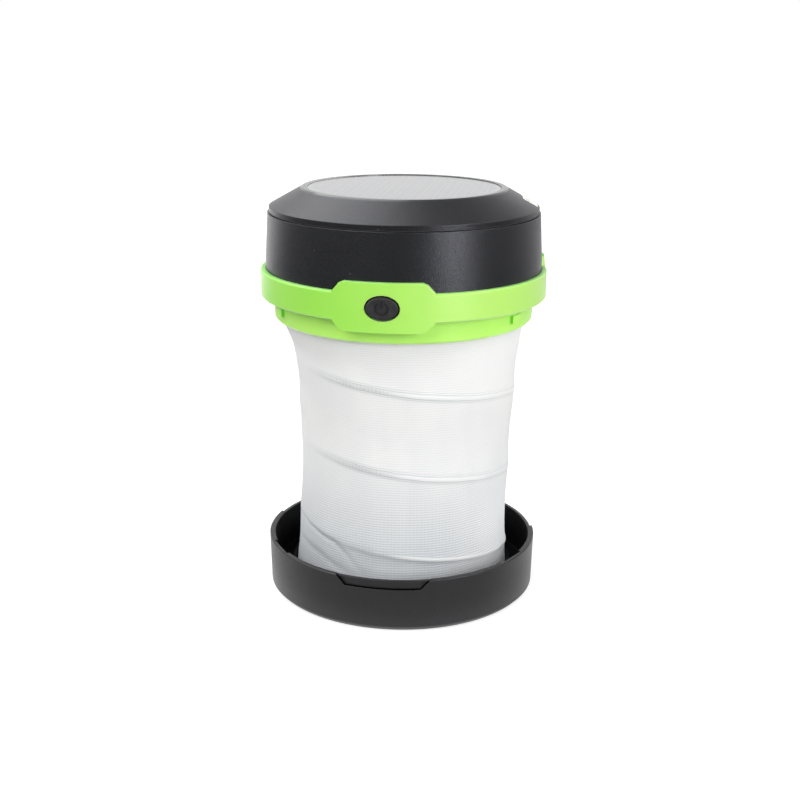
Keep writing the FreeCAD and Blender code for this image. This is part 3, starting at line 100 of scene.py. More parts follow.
class Paint:
    """One node tree: a material's, or the world's."""

    def __init__(self, name, owner=None):
        self.owner = owner or bpy.data.materials.new(name)
        self.owner.use_nodes = True
        self.tree = self.owner.node_tree
        self.tree.nodes.clear()

    def node(self, kind, settings=None, *values, **named):
        """Adds a node: its settings first, then its sockets by place and by name. Gives its outputs."""
        made = self.tree.nodes.new(kind)
        for key, setting in (settings or {}).items():
            setattr(made, key, setting)
        by_name = {key.replace("_", " "): value for key, value in named.items()}
        for key, value in [*enumerate(values), *by_name.items()]:
            if isinstance(value, Value):
                self.tree.links.new(value.socket, made.inputs[key])
            elif value is not None:
                made.inputs[key].default_value = value
        return [Value(self, socket) for socket in made.outputs]

    def place(self, turn=0.0, stretch=(1, 1, 1)):
        """Object coordinates, turned about z by degrees and stretched."""
        spot = self.node("ShaderNodeTexCoord")[3]
        return self.node("ShaderNodeMapping", None, spot, None, (0, 0, math.radians(turn)), stretch)[0]

    def axes(self, vector):
        return self.node("ShaderNodeSeparateXYZ", None, vector)

    def around(self):
        """Object coordinates in millimetres, and the reach from the upright axis."""
        x, y, z = (axis * (1 / MM) for axis in self.axes(self.place()))
        return x, y, z, (x * x + y * y).math("SQRT")

    def facing(self, x, y, reach):
        """How far the surface faces away from the upright axis, and how far it faces up, from -1 to 1."""
        across, ahead, rise = self.axes(self.node("ShaderNodeNewGeometry")[3])
        return (x * across + y * ahead) / reach, rise

    def layer(self, name):
        """Values that a surface carries on its points."""
        return self.node("ShaderNodeAttribute", {"attribute_name": name})[2]

    def rays(self):
        """1 for rays straight from the camera, and 1 for rays that come by gloss or glass; 0 for others."""
        seen = self.node("ShaderNodeLightPath")
        return seen[0], seen[3] + seen[6]

    def noise(self, pitch, detail=2.0, rough=0.5, spot=None):
        """Smooth noise from 0 to 1 with lumps about pitch millimetres apart."""
        spot = spot or self.place()
        return self.node("ShaderNodeTexNoise", None, spot, None, 1 / (pitch * MM), detail, rough)[0]

    def mix(self, share, first, second):
        """Colour between two colours."""
        unused = [None] * 5
        return self.node("ShaderNodeMix", {"data_type": "RGBA"}, share, *unused, first, second)[2]

    def blend(self, share, first, second):
        """Direction between two directions."""
        unused = [None] * 3
        return self.node("ShaderNodeMix", {"data_type": "VECTOR"}, share, *unused, first, second)[1]

    def vector(self, operation, *values):
        return self.node("ShaderNodeVectorMath", {"operation": operation}, *values)

    def soft_edges(self, radius):
        """Normals rounded over sharp edges by a radius in millimetres."""
        return self.node("ShaderNodeBevel", {"samples": 6}, radius * MM)[0]

    def bump(self, height, depth, strength=1.0, normal=None):
        """Normals of a relief of the given depth in millimetres."""
        return self.node(
            "ShaderNodeBump", None, Strength=strength, Distance=depth * MM, Height=height, Normal=normal
        )[0]

    def finish(self, share=None, other=None, **sockets):
        """Ends the tree with one Principled shader, given way by a share to another shader."""
        shader = self.node("ShaderNodeBsdfPrincipled", None, **sockets)[0]
        if other:
            shader = self.node("ShaderNodeMixShader", None, share, shader, other)[0]
        self.node("ShaderNodeOutputMaterial", None, shader)
        return self.owner


def srgb(*levels):
    """Linear colour of sRGB levels from 0 to 255."""
    parts = [c / 255 for c in levels]
    return (*(c / 12.92 if c <= 0.04045 else ((c + 0.055) / 1.055) ** 2.4 for c in parts), 1.0)


# Surfaces
def grid_faces(rows, cols, close_rows, close_cols):
    """Quads between neighbours of a grid of points, wrapped round where it closes."""
    r = np.arange(rows if close_rows else rows - 1)
    c = np.arange(cols if close_cols else cols - 1)
    r, c = np.meshgrid(r, c, indexing="ij")
    r2, c2 = (r + 1) % rows, (c + 1) % cols
    return np.stack([r * cols + c, r * cols + c2, r2 * cols + c2, r2 * cols + c], -1).reshape(-1, 4)


def surface(name, points, close_rows=False, close_cols=True, layers=None):
    """A piece from a grid of points in millimetres; layers are named values on the points."""
    rows, cols = points.shape[:2]
    faces = grid_faces(rows, cols, close_rows, close_cols)
    mesh = bpy.data.meshes.new(name)
    mesh.from_pydata((points * MM).reshape(-1, 3), [], faces.tolist())
    mesh.polygons.foreach_set("use_smooth", np.ones(len(faces), bool))
    for key, layer in (layers or {}).items():
        made = mesh.attributes.new(key, "FLOAT", "POINT")
        made.data.foreach_set("value", layer.astype(np.float32).ravel())
    mesh.update()
    piece = bpy.data.objects.new(name, mesh)
    bpy.context.scene.collection.objects.link(piece)
    return piece


def tube(path, across, radius, sides, flat=1.0):
    """Circle carried along a path and drawn to a point at both ends: rows follow the path, columns
    go round it. across is the direction at each point along which the circle is made flat by a share."""
    along = np.gradient(path, axis=0)
    along /= np.linalg.norm(along, axis=1, keepdims=True)
    across = across - along * (across * along).sum(1, keepdims=True)
    across /= np.linalg.norm(across, axis=1, keepdims=True)
    beside = np.cross(along, across)
    angle = np.linspace(0, 2 * np.pi, sides, endpoint=False)[None, :, None]
    ring = flat * np.cos(angle) * across[:, None] + np.sin(angle) * beside[:, None]
    walls = path[:, None] + radius * ring
    return np.concatenate([walls[:1] * 0 + path[0], walls, walls[-1:] * 0 + path[-1]])


# Fabric and wire of the shade, in millimetres and turns
HEM_LOW, RIB_TOP, SKIRT_LOW, CLOTH_HIGH, CLAMP_LOW, HEM_HIGH = 3.4, 6.9, 90.4, 91.45, 91.5, 97.2
WAIST, BASE_HEM, TOP_HEM = 33.6, 35.0, 38.9
TOP_FALL, BASE_FALL = 14.0, 20.0
CLOTH, WIRE, WIRE_GAP = 0.6, 1.5, 0.3
COIL_LOW, COIL_HIGH, COIL_ANGLE = 6.0, 90.5, -18.4
ACTIVE, DEAD, RAMP = 3.2, 0.5, 0.25
WHOLE = ACTIVE + 2 * DEAD + RAMP
LEAN_MOST, LEAN_FROM, LEAN_RISE, LEAN_FALL = 1.05, 10, 38, 11
LEAN_WAY = np.array([math.cos(math.radians(8)), math.sin(math.radians(8))])
CLOTH_COLS, CLOTH_OUTER, CLOTH_INNER, HEM_COLS = 220, 260, 60, 160
WIRE_STEPS, WIRE_SIDES = 420, 12
AWAY = 9.0

# Touch of cloth and wire by direction in degrees
TOUCH = [-152, -130, -104, -76, 20, 110, 170], [0.1, 0.25, 0.6, 1.0, 0.5, 0.6, 0.15]
# Level of each slanting crease by direction
FIRST_CREASE = [-152, -121, -113, -105, -98], [25.0, 22.3, 19.2, 15.0, 11.0]
SECOND_CREASE = [-155, -130, -120, -110, -100], [17.6, 16.4, 14.5, 12.9, 11.5]
# Soft spots: height, level, reach up and down, direction, reach round
SWELLINGS = (0.55, 62, 9, 8, 25), (0.4, 62, 3.5, 188, 14)
UPRIGHT_CREASES = (0.2, 34, 10, -81, 1.5), (0.16, 56, 10, -106, 3)
# Ripples: height, waves round, start, drift with the level
RIPPLES = (0.10, 11, 0.0, 0.05), (0.06, 23, 1.3, 0.08)


def lean(z):
    """Sideways slack of the standing shade: nothing at the hems, a millimetre between them."""
    rise, fall = np.clip((z - LEAN_FROM) / LEAN_RISE, 0, 1), np.clip((SKIRT_LOW - z) / LEAN_FALL, 0, 1)
    return LEAN_MOST * (rise * fall) ** 2 * (3 - 2 * rise) * (3 - 2 * fall)


def cloth_radius(z):
    """Outside radius of the fabric: a waist plus a flare that dies away from each hem, held
    upright inside the hems."""
    flared = (
        WAIST
        + (TOP_HEM - WAIST) * np.exp((np.minimum(z, SKIRT_LOW) - SKIRT_LOW) / TOP_FALL)
        + (BASE_HEM - WAIST) * np.exp((RIB_TOP - np.maximum(z, RIB_TOP)) / BASE_FALL)
    )
    return np.minimum(flared, TOP_HEM)


def coil_level(turn):
    """Level of the wire after a number of turns: flat, ramp, even pitch, ramp, flat."""
    def climbed(t):
        s = np.clip(t - DEAD, 0, RAMP)
        return s * s / (2 * RAMP) + np.maximum(t - DEAD - RAMP, 0)
    pitch = (COIL_HIGH - COIL_LOW) / ACTIVE
    return np.where(
        turn <= WHOLE / 2, COIL_LOW + pitch * climbed(turn), COIL_HIGH - pitch * climbed(WHOLE - turn)
    )


def coil_path(count):
    """Centres of the wire: a circle inside the fabric that climbs with the turns, with a straight
    wire's width at each end."""
    turn = np.linspace(0, WHOLE, count)
    z = coil_level(turn)
    radius = cloth_radius(z) - CLOTH - WIRE_GAP - WIRE / 2
    angle = np.radians(COIL_ANGLE - 360 * turn)
    path = np.stack([radius * np.cos(angle), radius * np.sin(angle), z], 1)
    path[:, :2] += lean(z)[:, None] * LEAN_WAY
    first, last = path[0] - path[1], path[-1] - path[-2]
    start = path[0] + first / np.linalg.norm(first) * WIRE
    end = path[-1] + last / np.linalg.norm(last) * WIRE
    return np.concatenate([[start], path, [end]])


def wire_offset(angle, z):
    """Height of a point of the fabric above the nearest turn of the wire at that angle."""
    first = np.mod((np.radians(COIL_ANGLE) - angle) / (2 * np.pi), 1.0)
    turns = first[..., None] + np.arange(math.ceil(WHOLE))
    levels = np.where(turns <= WHOLE, coil_level(np.minimum(turns, WHOLE)), np.inf)
    above = z[..., None] - levels
    nearest = np.abs(above).argmin(-1)[..., None]
    return np.take_along_axis(above, nearest, -1)[..., 0]


def bell(value, middle, width):
    """Smooth hump of height 1 about a middle value."""
    return np.exp(-(((value - middle) / width) ** 2))


def beside(angles, degrees, width):
    """Hump round the shade about a direction, with a width in millimetres."""
    apart = np.mod(angles - np.radians(degrees) + np.pi, 2 * np.pi) - np.pi
    return bell(apart * WAIST, 0.0, width)


def soft_spots(rows, angles, z):
    """Sum of soft spots, each a hump up the shade times a hump round it."""
    return sum(most * bell(z, level, up) * beside(angles, turn, wide) for most, level, up, turn, wide in rows)


def slanting_creases(angles, z):
    """Two creases that run down from the lowest turn of the wire on one side, the second shallower."""
    degrees = np.degrees(angles)
    first = bell(z, np.interp(degrees, *FIRST_CREASE), 0.8) * beside(angles, -130, 15)
    second = bell(z, np.interp(degrees, *SECOND_CREASE), 1.1) * beside(angles, -133, 13)
    return first + 0.6 * second


def shade_cloth():
    """Closed skin of the shade: radius is the hems' flare, raised in a rounded ridge over the wire where it
    touches and drawn in between turns, with a slack hollow under the lowest turn, two slanting creases
    beside it, two slack swellings, two upright creases and shallow upright ripples; the inside is the same
    curve one thickness in, and the whole leans a little to one side."""
    angle = np.linspace(-np.pi, np.pi, CLOTH_COLS, endpoint=False)
    up, down = np.linspace(HEM_LOW, CLOTH_HIGH, CLOTH_OUTER), np.linspace(CLOTH_HIGH, HEM_LOW, CLOTH_INNER)
    angles, z = np.meshgrid(angle, np.concatenate([up, down]))
    outside = np.arange(len(z))[:, None] < CLOTH_OUTER
    above = wire_offset(angles, z)
    free = np.clip((z - RIB_TOP) / 5, 0, 1) * np.clip((SKIRT_LOW - z) / 15, 0, 1)
    low = bell(z, 9.0, 9.0)
    ridge = np.interp(np.degrees(angles), *TOUCH) * (0.32 + 0.45 * low) * bell(above, 0.0, 1.1)
    drawn = 0.25 * (1 - bell(above, 0.0, 6.0))
    hollow = low * (0.1 + 0.25 * beside(angles, -120, 30)) * bell(above, -3.0, 1.9)
    fold = slanting_creases(angles, z)
    crease = 0.36 * fold + soft_spots(UPRIGHT_CREASES, angles, z)
    ripple = sum(most * np.sin(waves * angles + start + drift * z) for most, waves, start, drift in RIPPLES)
    swelling = soft_spots(SWELLINGS, angles, z)
    relief = np.where(outside, ridge - hollow - crease + ripple, 0) + swelling - drawn
    radius = cloth_radius(z) - np.where(outside, 0, CLOTH) + free * relief
    points = np.stack([radius * np.cos(angles), radius * np.sin(angles), z], -1)
    points[..., :2] += lean(z)[..., None] * LEAN_WAY
    layers = {"level": z, "from_wire": np.where(free > 0.3, np.abs(above), AWAY), "fold": fold * free}
    return surface("shade_cloth", points, True, True, layers)


def top_hem():
    """Upright ring of the fabric inside the collar: a thin closed band between two levels."""
    angle = np.linspace(-np.pi, np.pi, HEM_COLS, endpoint=False)[None]
    inner = TOP_HEM - CLOTH
    loop = np.array([(TOP_HEM, CLAMP_LOW), (TOP_HEM, HEM_HIGH), (inner, HEM_HIGH), (inner, CLAMP_LOW)])
    radius, z = loop[:, :1], loop[:, 1:] + 0 * angle
    points = np.stack([radius * np.cos(angle), radius * np.sin(angle), z], -1)
    return surface("top_hem", points, True, True, {"level": z, "from_wire": 0 * z + AWAY, "fold": 0 * z})


# Sign on the button, in millimetres and degrees
MARK_RADIUS, MARK_DROP, MARK_FROM, MARK_TO = 1.8, 0.1, 128, 412
BAR_LOW, BAR_HIGH = 0.1, 2.2
MARK_HALF, MARK_SIDES, MARK_FLAT = 0.3, 16, 0.6


def power_mark():
    """Raised sign on the button: an open ring about the button's centre and an upright bar in its gap,
    each a flattened tube half sunk in the button's face."""
    low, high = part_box("power_button")
    face, centre = low.y / MM, (low.z + high.z) / 2 / MM - MARK_DROP
    angle = np.radians(np.linspace(MARK_FROM, MARK_TO, 60))
    ring = np.stack([MARK_RADIUS * np.cos(angle), 0 * angle + face, centre + MARK_RADIUS * np.sin(angle)], 1)
    rise = np.linspace(BAR_LOW, BAR_HIGH, 16)
    bar = np.stack([0 * rise, 0 * rise + face, centre + rise], 1)
    pieces = []
    for name, path in (("power_mark_ring", ring), ("power_mark_bar", bar)):
        outward = np.tile([0.0, -1.0, 0.0], (len(path), 1))
        pieces.append(surface(name, tube(path, outward, MARK_HALF, MARK_SIDES, MARK_FLAT)))
    return pieces


# Sizes of the CAD nodes that the finishes follow, in millimetres
SHELL_TOP, TAB_TOP, SHELL_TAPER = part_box("body_shell")[1].z / MM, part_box("collar")[1].z / MM, 0.8
RECESS_REACH, RECESS_FLOOR, RECESS_HALF, RECESS_SLOPE = 43.4, 13.9, 11.84, 0.964
# Limits near faces of the nodes where the colour of a finish starts or ends, in millimetres
SHELL_WALL, SHELL_EDGE = 42.8, 42.0
WINDOW_REACH, WINDOW_LOW, RIM_LOW = 30.3, 130.0, 130.6
SKIRT_REACH, SKIRT_HIGH, TOP_FACE_LOW = 42.6, 97.2, 98.0
INSIDE_REACH, INSIDE_LOW, RECESS_HIGH = 42.2, 3.0, 16.7

# Tones of painted light and of dust
PAINTED_LIGHT_GREY, PAINTED_LIGHT_PALE, DUST = (70, 69, 70), (165, 165, 162), (150, 149, 147)


# Finishes
def shifted(tone, step):
    """Linear colour of a tone with every level moved by a step, to 255 at most."""
    return srgb(*(min(c + step, 255) for c in tone))


def black_plastic(name, tone, rough, shine=0.5, tint=(1, 1, 1), shade=None, polish=None, painted_light=None, tip=None):
    """Moulded plastic with an even spark-eroded grain, faint cloudy colour and a few specks of dust. shade
    gives the share painted in shade as a dull black, polish the share that shines, and the painted-light
    argument the shares painted lighter, with their tones. tip turns the normals before the grain is added."""
    p = Paint(name)
    fine, cloud = p.noise(0.2, 0.0), p.noise(14.0, 3.0)
    colour = p.mix(cloud.ramp(0.3, 0.7), srgb(*tone), shifted(tone, 3))
    colour = p.mix(fine.ramp(0.55, 0.8, 0.0, 0.35), colour, shifted(tone, 14))
    speck = p.node("ShaderNodeTexVoronoi", None, p.place(), None, 1 / (4.5 * MM))[0]
    colour = p.mix(speck.ramp(0.02, 0.035, 0.5, 0.0), colour, srgb(*DUST))
    # painted light: shares of edges and walls lightened to a given tone
    for share, pale in painted_light(p) if painted_light else ():
        colour = p.mix(share, colour, srgb(*pale))
    rounded = p.soft_edges(0.32)
    normal = p.bump(fine, 0.05, 0.85, tip(p, rounded) if tip else rounded)
    # painted shade: a dull black diffuse shader mixed in by the shade share
    dark = shade and shade(p)
    darkening = shade and p.node("ShaderNodeBsdfDiffuse", None, srgb(5, 5, 5))[0]
    return p.finish(
        dark, darkening, Base_Color=colour, Roughness=rough + (fine - 0.5) * 0.2 + (cloud - 0.5) * 0.04,
        Normal=normal, Specular_IOR_Level=shine, Specular_Tint=(*tint, 1),
        Coat_Weight=polish(p) if polish else 0.0, Coat_Roughness=0.15,
    )


def even_wall(p, normal):
    """Normals of the shell's upright foot, tipped up as far as those of the tapered wall over it."""
    _, _, z, reach = p.around()
    share = z.ramp(TAB_TOP - 0.3, TAB_TOP + 0.1, 1.0, 0.0) * reach.ramp(SHELL_WALL, SHELL_WALL + 0.1)
    rise = p.node("ShaderNodeCombineXYZ", None, 0.0, 0.0, share * (SHELL_TAPER / (SHELL_TOP - TAB_TOP)))[0]
    return p.vector("NORMALIZE", p.vector("ADD", normal, rise)[0])[0]


def rim_polish(p):
    """Share of polish: the flat rim round the panel."""
    return p.around()[2].ramp(RIM_LOW, RIM_LOW + 0.5, 0.0, 0.7)


def rim_painted_light(p):
    """Painted light: the low wall between panel and rim, lightened most of all at one end, and a painted
    highlight on the shell's upper edge.
    """
    x, _, z, reach = p.around()
    below = SHELL_TOP - z
    wall = reach.ramp(WINDOW_REACH, WINDOW_REACH + 0.2, 1.0, 0.0) * z.ramp(WINDOW_LOW, WINDOW_LOW + 0.2)
    close = below.ramp(-0.06, -0.02) * below.ramp(0.15, 0.35, 0.7, 0.0)
    edge = reach.ramp(SHELL_EDGE, SHELL_EDGE + 0.3) * close
    return [(wall.math("MAXIMUM", edge), PAINTED_LIGHT_GREY), (wall * x.ramp(-27.0, -17.0, 1.0, 0.0), PAINTED_LIGHT_PALE)]


def foot_highlight(p):
    """Painted highlight: a thin paler line round the foot of the cup."""
    z = p.around()[2]
    return [(z.ramp(0.7, 1.0) * z.ramp(1.2, 1.5, 0.8, 0.0), PAINTED_LIGHT_GREY)]


def cup_shade(p):
    """Share of the cup given painted shade, a dull black: the edges of the tab recesses, a thin line where
    each recess meets them, and most of the inside. The line is near the recess's floor or near its
    slanting sides."""
    x, y, z, reach = p.around()
    outward, _ = p.facing(x, y, reach)
    above, out = z - RECESS_FLOOR, reach - RECESS_REACH
    recess = above.ramp(-0.2, -0.1) * z.ramp(RECESS_HIGH, RECESS_HIGH + 0.1, 1.0, 0.0)
    edge = outward.ramp(0.3, 0.6, 1.0, 0.0) * out.ramp(-0.1, 0.0) * recess
    turn = x.math("ARCTAN2", y * -1).math("WRAP", math.pi / 3, -math.pi / 3)
    aside = RECESS_HALF + above * RECESS_SLOPE - (reach * turn.math("SINE")).math("ABSOLUTE")
    foot = above.math("MINIMUM", aside / math.hypot(1, RECESS_SLOPE))
    face = out.ramp(-0.2, -0.1) * out.ramp(0.1, 0.2, 1.0, 0.0)
    line = foot.ramp(-0.1, -0.02) * foot.ramp(0.12, 0.26, 1.0, 0.0) * face
    deep = reach.ramp(INSIDE_REACH, INSIDE_REACH + 0.2, 1.0, 0.0) * z.ramp(INSIDE_LOW, INSIDE_LOW + 0.3)
    inside = deep * z.ramp(15.0, 17.0, 0.75, 0.3)
    return edge.math("MAXIMUM", line).math("MAXIMUM", inside)


def lime_plastic():
    """Bright moulded plastic, slightly deeper in cloudy patches, with a fine satin grain. Painted light makes
    it paler towards one side and on the thin skirt, and paler on edges but for those that turn up; painted
    shade makes lug sides and top faces deep green. Edges that turn down keep their plain normals, and the
    others are rounded."""
    p = Paint("lime_plastic")
    fine, cloud = p.noise(0.35, 2.0), p.noise(18.0, 3.0)
    x, y, z, reach = p.around()
    outward, rise = p.facing(x, y, reach)
    rounded, plain = p.soft_edges(0.4), p.node("ShaderNodeNewGeometry")[1]
    lift = p.axes(rounded)[2]
    under_band = z.ramp(SKIRT_HIGH, SKIRT_HIGH + 0.4, 1.0, 0.0)
    skirt = under_band * reach.ramp(SKIRT_REACH, SKIRT_REACH + 0.6, 1.0, 0.0)
    lug_side_shade = skirt * outward.ramp(0.4, 0.7, 1.0, 0.0) * rise.math("ABSOLUTE").ramp(0.3, 0.6, 1.0, 0.0)
    turned = p.vector("DOT_PRODUCT", rounded, plain)[1].ramp(0.75, 0.98, 0.8, 0.0)
    top = rise.ramp(0.6, 0.9) * z.ramp(TOP_FACE_LOW, TOP_FACE_LOW + 0.5)
    colour = p.mix(cloud.ramp(0.25, 0.75), srgb(150, 222, 73), srgb(156, 225, 79))
    colour = p.mix(fine.ramp(0.6, 0.85, 0.0, 0.3), colour, srgb(166, 230, 91))
    # painted light: paler towards the +x side, where the lamps fall
    colour = p.mix(x.ramp(-25.0, 30.0), colour, srgb(178, 229, 106))
    # painted light: the thin skirt paler, against the band's shadow over it
    colour = p.mix(skirt, colour, srgb(188, 249, 108))
    # painted shade: lug sides deep green
    colour = p.mix(lug_side_shade, colour, srgb(112, 222, 24))
    # painted highlights: edges paler but for those that turn up
    colour = p.mix(turned * lift.ramp(0.1, 0.4, 1.0, 0.0), colour, srgb(204, 252, 138))
    # painted shade: top faces deep green
    colour = p.mix(top, colour, srgb(112, 210, 36))
    normal = p.blend(lift.ramp(-0.3, -0.02, 1.0, 0.0), rounded, plain)
    return p.finish(
        Base_Color=colour, Roughness=0.37 + (fine - 0.5) * 0.12 + (cloud - 0.5) * 0.06,
        Normal=p.bump(fine, 0.04, 0.25, normal), Specular_IOR_Level=0.85,
        Subsurface_Weight=0.25, Subsurface_Radius=(0.8, 1.0, 0.3), Subsurface_Scale=1.2 * MM,
        Sheen_Weight=0.35, Sheen_Roughness=0.4,
    )


# Knit: distance between courses and between the lines beside the wire in millimetres, wales in a round
COURSE, LINE, WALES = 0.8, 0.66, 184


def knit_cloth():
    """White knit: raised courses round the shade that show most where it is slack near the cup, wider wales
    up it and faint unevenness, with painted shade that makes it greyer low down and less so on the lit side.
    Where it touches the wire it shows a grainy grey band on the side away from the light, the wire showing
    through with painted shade, and a painted highlight on the other side, with thin grey lines of painted
    shade beside the wire that fade where it lifts off. Creases are greyer with painted shade, and some
    light passes through, less towards the top where the cloth lies close."""
    p = Paint("white_knit")
    up, apart, fold = p.layer("level"), p.layer("from_wire"), p.layer("fold")
    x, y, _, _ = p.around()
    turn = y.math("ARCTAN2", x) * (180 / math.pi)
    wander = (p.noise(9.0, 2.0) - 0.5) * 0.5
    course, wale = (up + wander).wave(COURSE), turn.wave(360 / WALES)
    show = up.ramp(22.0, 52.0, 1.0, 0.22)
    height = (course * 0.7 + wale * 0.12) * (0.4 + show * 0.6) + p.noise(0.22, 2.0) * 0.25
    touch = turn.ramp(-148.0, -100.0) * turn.ramp(-80.0, -15.0, 1.0, 0.5) * turn.ramp(120.0, 170.0, 1.0, 0.0)
    band = apart.ramp(0.2, 1.5, 1.0, 0.0) * touch * turn.ramp(-102.0, -76.0, 1.0, 0.0)
    grainy = 0.1 + p.noise(0.6, 1.0) * 0.8 * (0.6 + wale * 0.4)
    line = (apart + wander).wave(LINE) * apart.ramp(0.4, 0.7) * apart.ramp(1.0, 2.1, 1.0, 0.0) * touch
    glint = apart.ramp(0.25, 0.7, 1.0, 0.0) * turn.ramp(-92.0, -72.0) * turn.ramp(-48.0, -28.0, 1.0, 0.0)
    lit_side = turn.ramp(-70.0, -15.0) * turn.ramp(70.0, 175.0, 1.0, 0.0) * up.ramp(20.0, 50.0, 0.65, 0.0)
    stitch = (1 - course) * (0.4 + wale * 0.2 + p.noise(0.7, 2.0) * 0.5) * show
    colour = p.mix(p.noise(16.0, 3.0).ramp(0.3, 0.7), srgb(247, 247, 247), srgb(251, 251, 250))
    # painted shade: greyer low down, less on the lit side
    colour = p.mix(up.ramp(14.0, 56.0, 0.95, 0.0) * (1 - lit_side), colour, srgb(230, 233, 236))
    colour = p.mix(stitch * 0.8, colour, srgb(190, 193, 197))
    # the wire showing through, with painted shade, on the side away from the light
    colour = p.mix(band * grainy, colour, srgb(186, 191, 192))
    # painted shade: thin grey lines beside the wire
    colour = p.mix(line * 0.5, colour, srgb(176, 184, 188))
    # painted shade in the creases
    colour = p.mix(fold * 0.27, colour, srgb(134, 138, 142))
    # painted highlight on the wire's ridge on the lit side
    colour = p.mix(glint * 0.9, colour, srgb(254, 254, 254))
    normal = p.bump(height, 0.1, 0.4)
    through = p.node("ShaderNodeBsdfTranslucent", None, colour, normal)[0]
    return p.finish(
        up.ramp(60.0, 86.0, 0.3, 0.12) * (1 - lit_side), through,
        Base_Color=colour, Roughness=0.85 - glint * 0.6, Normal=normal, Specular_IOR_Level=0.6,
    )


# Solar cells: distance between pairs of fingers, the fingers of a pair, gaps and border, in millimetres
PAIR, FIRST_FINGER, SECOND_FINGER, CELL_GAP, BORDER = 4.25, 1.3, 2.95, 9.5, 28.0


def solar_cells():
    """Dark cells under a satin laminate: hair-thin silver fingers in pairs that run back from the front,
    two gaps between cells across them, and a pale border round the disc."""
    p = Paint("solar_cells")
    x, y, _, reach = p.around()
    step = (x + 100).math("MODULO", PAIR)
    near = (step - FIRST_FINGER).math("ABSOLUTE").math("MINIMUM", (step - SECOND_FINGER).math("ABSOLUTE"))
    finger = near.ramp(0.05, 0.16, 1.0, 0.0)
    darkening = (y.math("ABSOLUTE") - CELL_GAP).math("ABSOLUTE").ramp(0.12, 0.25, 1.0, 0.0)
    colour = p.mix(p.noise(1.6, 3.0).ramp(0.3, 0.7), srgb(62, 64, 70), srgb(74, 76, 82))
    colour = p.mix(finger * 0.16, colour, srgb(190, 192, 194))
    colour = p.mix(darkening * 0.4, colour, srgb(40, 42, 48))
    colour = p.mix(reach.ramp(BORDER, BORDER + 1.8), colour, srgb(104, 105, 104))
    fine = p.noise(0.5, 2.0)
    return p.finish(
        Base_Color=colour, Roughness=0.34 + (fine - 0.5) * 0.1, Normal=p.bump(fine, 0.03, 0.1),
        Coat_Weight=1.0, Coat_Roughness=0.14,
    )


def rubber(name, tone):
    """Soft moulded rubber with a dusty, pebbled face."""
    p = Paint(name)
    pebble, dust = p.noise(0.55, 3.0, 0.6), p.noise(2.5, 4.0)
    colour = p.mix(dust.ramp(0.35, 0.75), srgb(*tone), shifted(tone, 12))
    return p.finish(
        Base_Color=colour, Roughness=0.6 + (pebble - 0.5) * 0.2,
        Normal=p.bump(pebble, 0.1, 0.4, p.soft_edges(0.25)), Specular_IOR_Level=0.35,
    )


def pale_plastic(name, tone):
    """Light moulded plastic with a fine grain and faint yellowing in patches."""
    p = Paint(name)
    fine, cloud = p.noise(0.4, 2.0), p.noise(9.0, 3.0)
    colour = p.mix(cloud.ramp(0.35, 0.75), srgb(*tone), srgb(tone[0] - 4, tone[1] - 6, tone[2] - 12))
    colour = p.mix(fine.ramp(0.6, 0.85, 0.0, 0.3), colour, shifted(tone, 8))
    normal = p.bump(fine, 0.04, 0.25, p.soft_edges(0.2))
    return p.finish(Base_Color=colour, Roughness=0.42 + (fine - 0.5) * 0.14, Normal=normal)


def bare_metal(name, tone, rough):
    """Plated steel with fine drawing marks and a little dulling."""
    p = Paint(name)
    marks, dull = p.noise(0.3, 3.0, 0.6, p.place(0, (1, 1, 6))), p.noise(3.0, 3.0)
    colour = p.mix(dull.ramp(0.35, 0.75), srgb(*tone), shifted(tone, -26))
    return p.finish(
        Base_Color=colour, Metallic=1.0, Roughness=rough + (marks - 0.5) * 0.2 + (dull - 0.5) * 0.15,
        Normal=p.bump(marks, 0.02, 0.3),
    )


def circuit_board():
    """Solder mask over copper tracks, with specks of glass weave."""
    p = Paint("solder_mask")
    cells = {"distance": "MANHATTAN", "feature": "DISTANCE_TO_EDGE"}
    tracks = p.node("ShaderNodeTexVoronoi", cells, p.place(45), None, 260.0)[0]
    weave = p.noise(0.3, 2.0)
    colour = p.mix(tracks.ramp(0.03, 0.05, 1.0, 0.0), srgb(18, 74, 44), srgb(34, 104, 62))
    colour = p.mix(weave.ramp(0.5, 0.8, 0.0, 0.3), colour, srgb(60, 120, 80))
    normal = p.bump(tracks.ramp(0.03, 0.06, 1.0, 0.0), 0.05, 0.4)
    return p.finish(Base_Color=colour, Roughness=0.35 + (weave - 0.5) * 0.2, Normal=normal)


def led_phosphor():
    """Yellow phosphor window of a chip, grainy."""
    p = Paint("led_phosphor")
    grain = p.noise(0.12, 2.0)
    colour = p.mix(grain, srgb(244, 214, 92), srgb(250, 232, 140))
    return p.finish(Base_Color=colour, Roughness=0.45 + (grain - 0.5) * 0.2, Normal=p.bump(grain, 0.03, 0.3))


def sleeve(name, first, second):
    """Coloured film or insulation with soft streaks."""
    p = Paint(name)
    streak, fine = p.noise(3.0, 3.0), p.noise(0.4, 2.0)
    colour = p.mix(streak.ramp(0.35, 0.7), srgb(*first), srgb(*second))
    return p.finish(Base_Color=colour, Roughness=0.38 + (fine - 0.5) * 0.2, Normal=p.bump(fine, 0.03, 0.3))


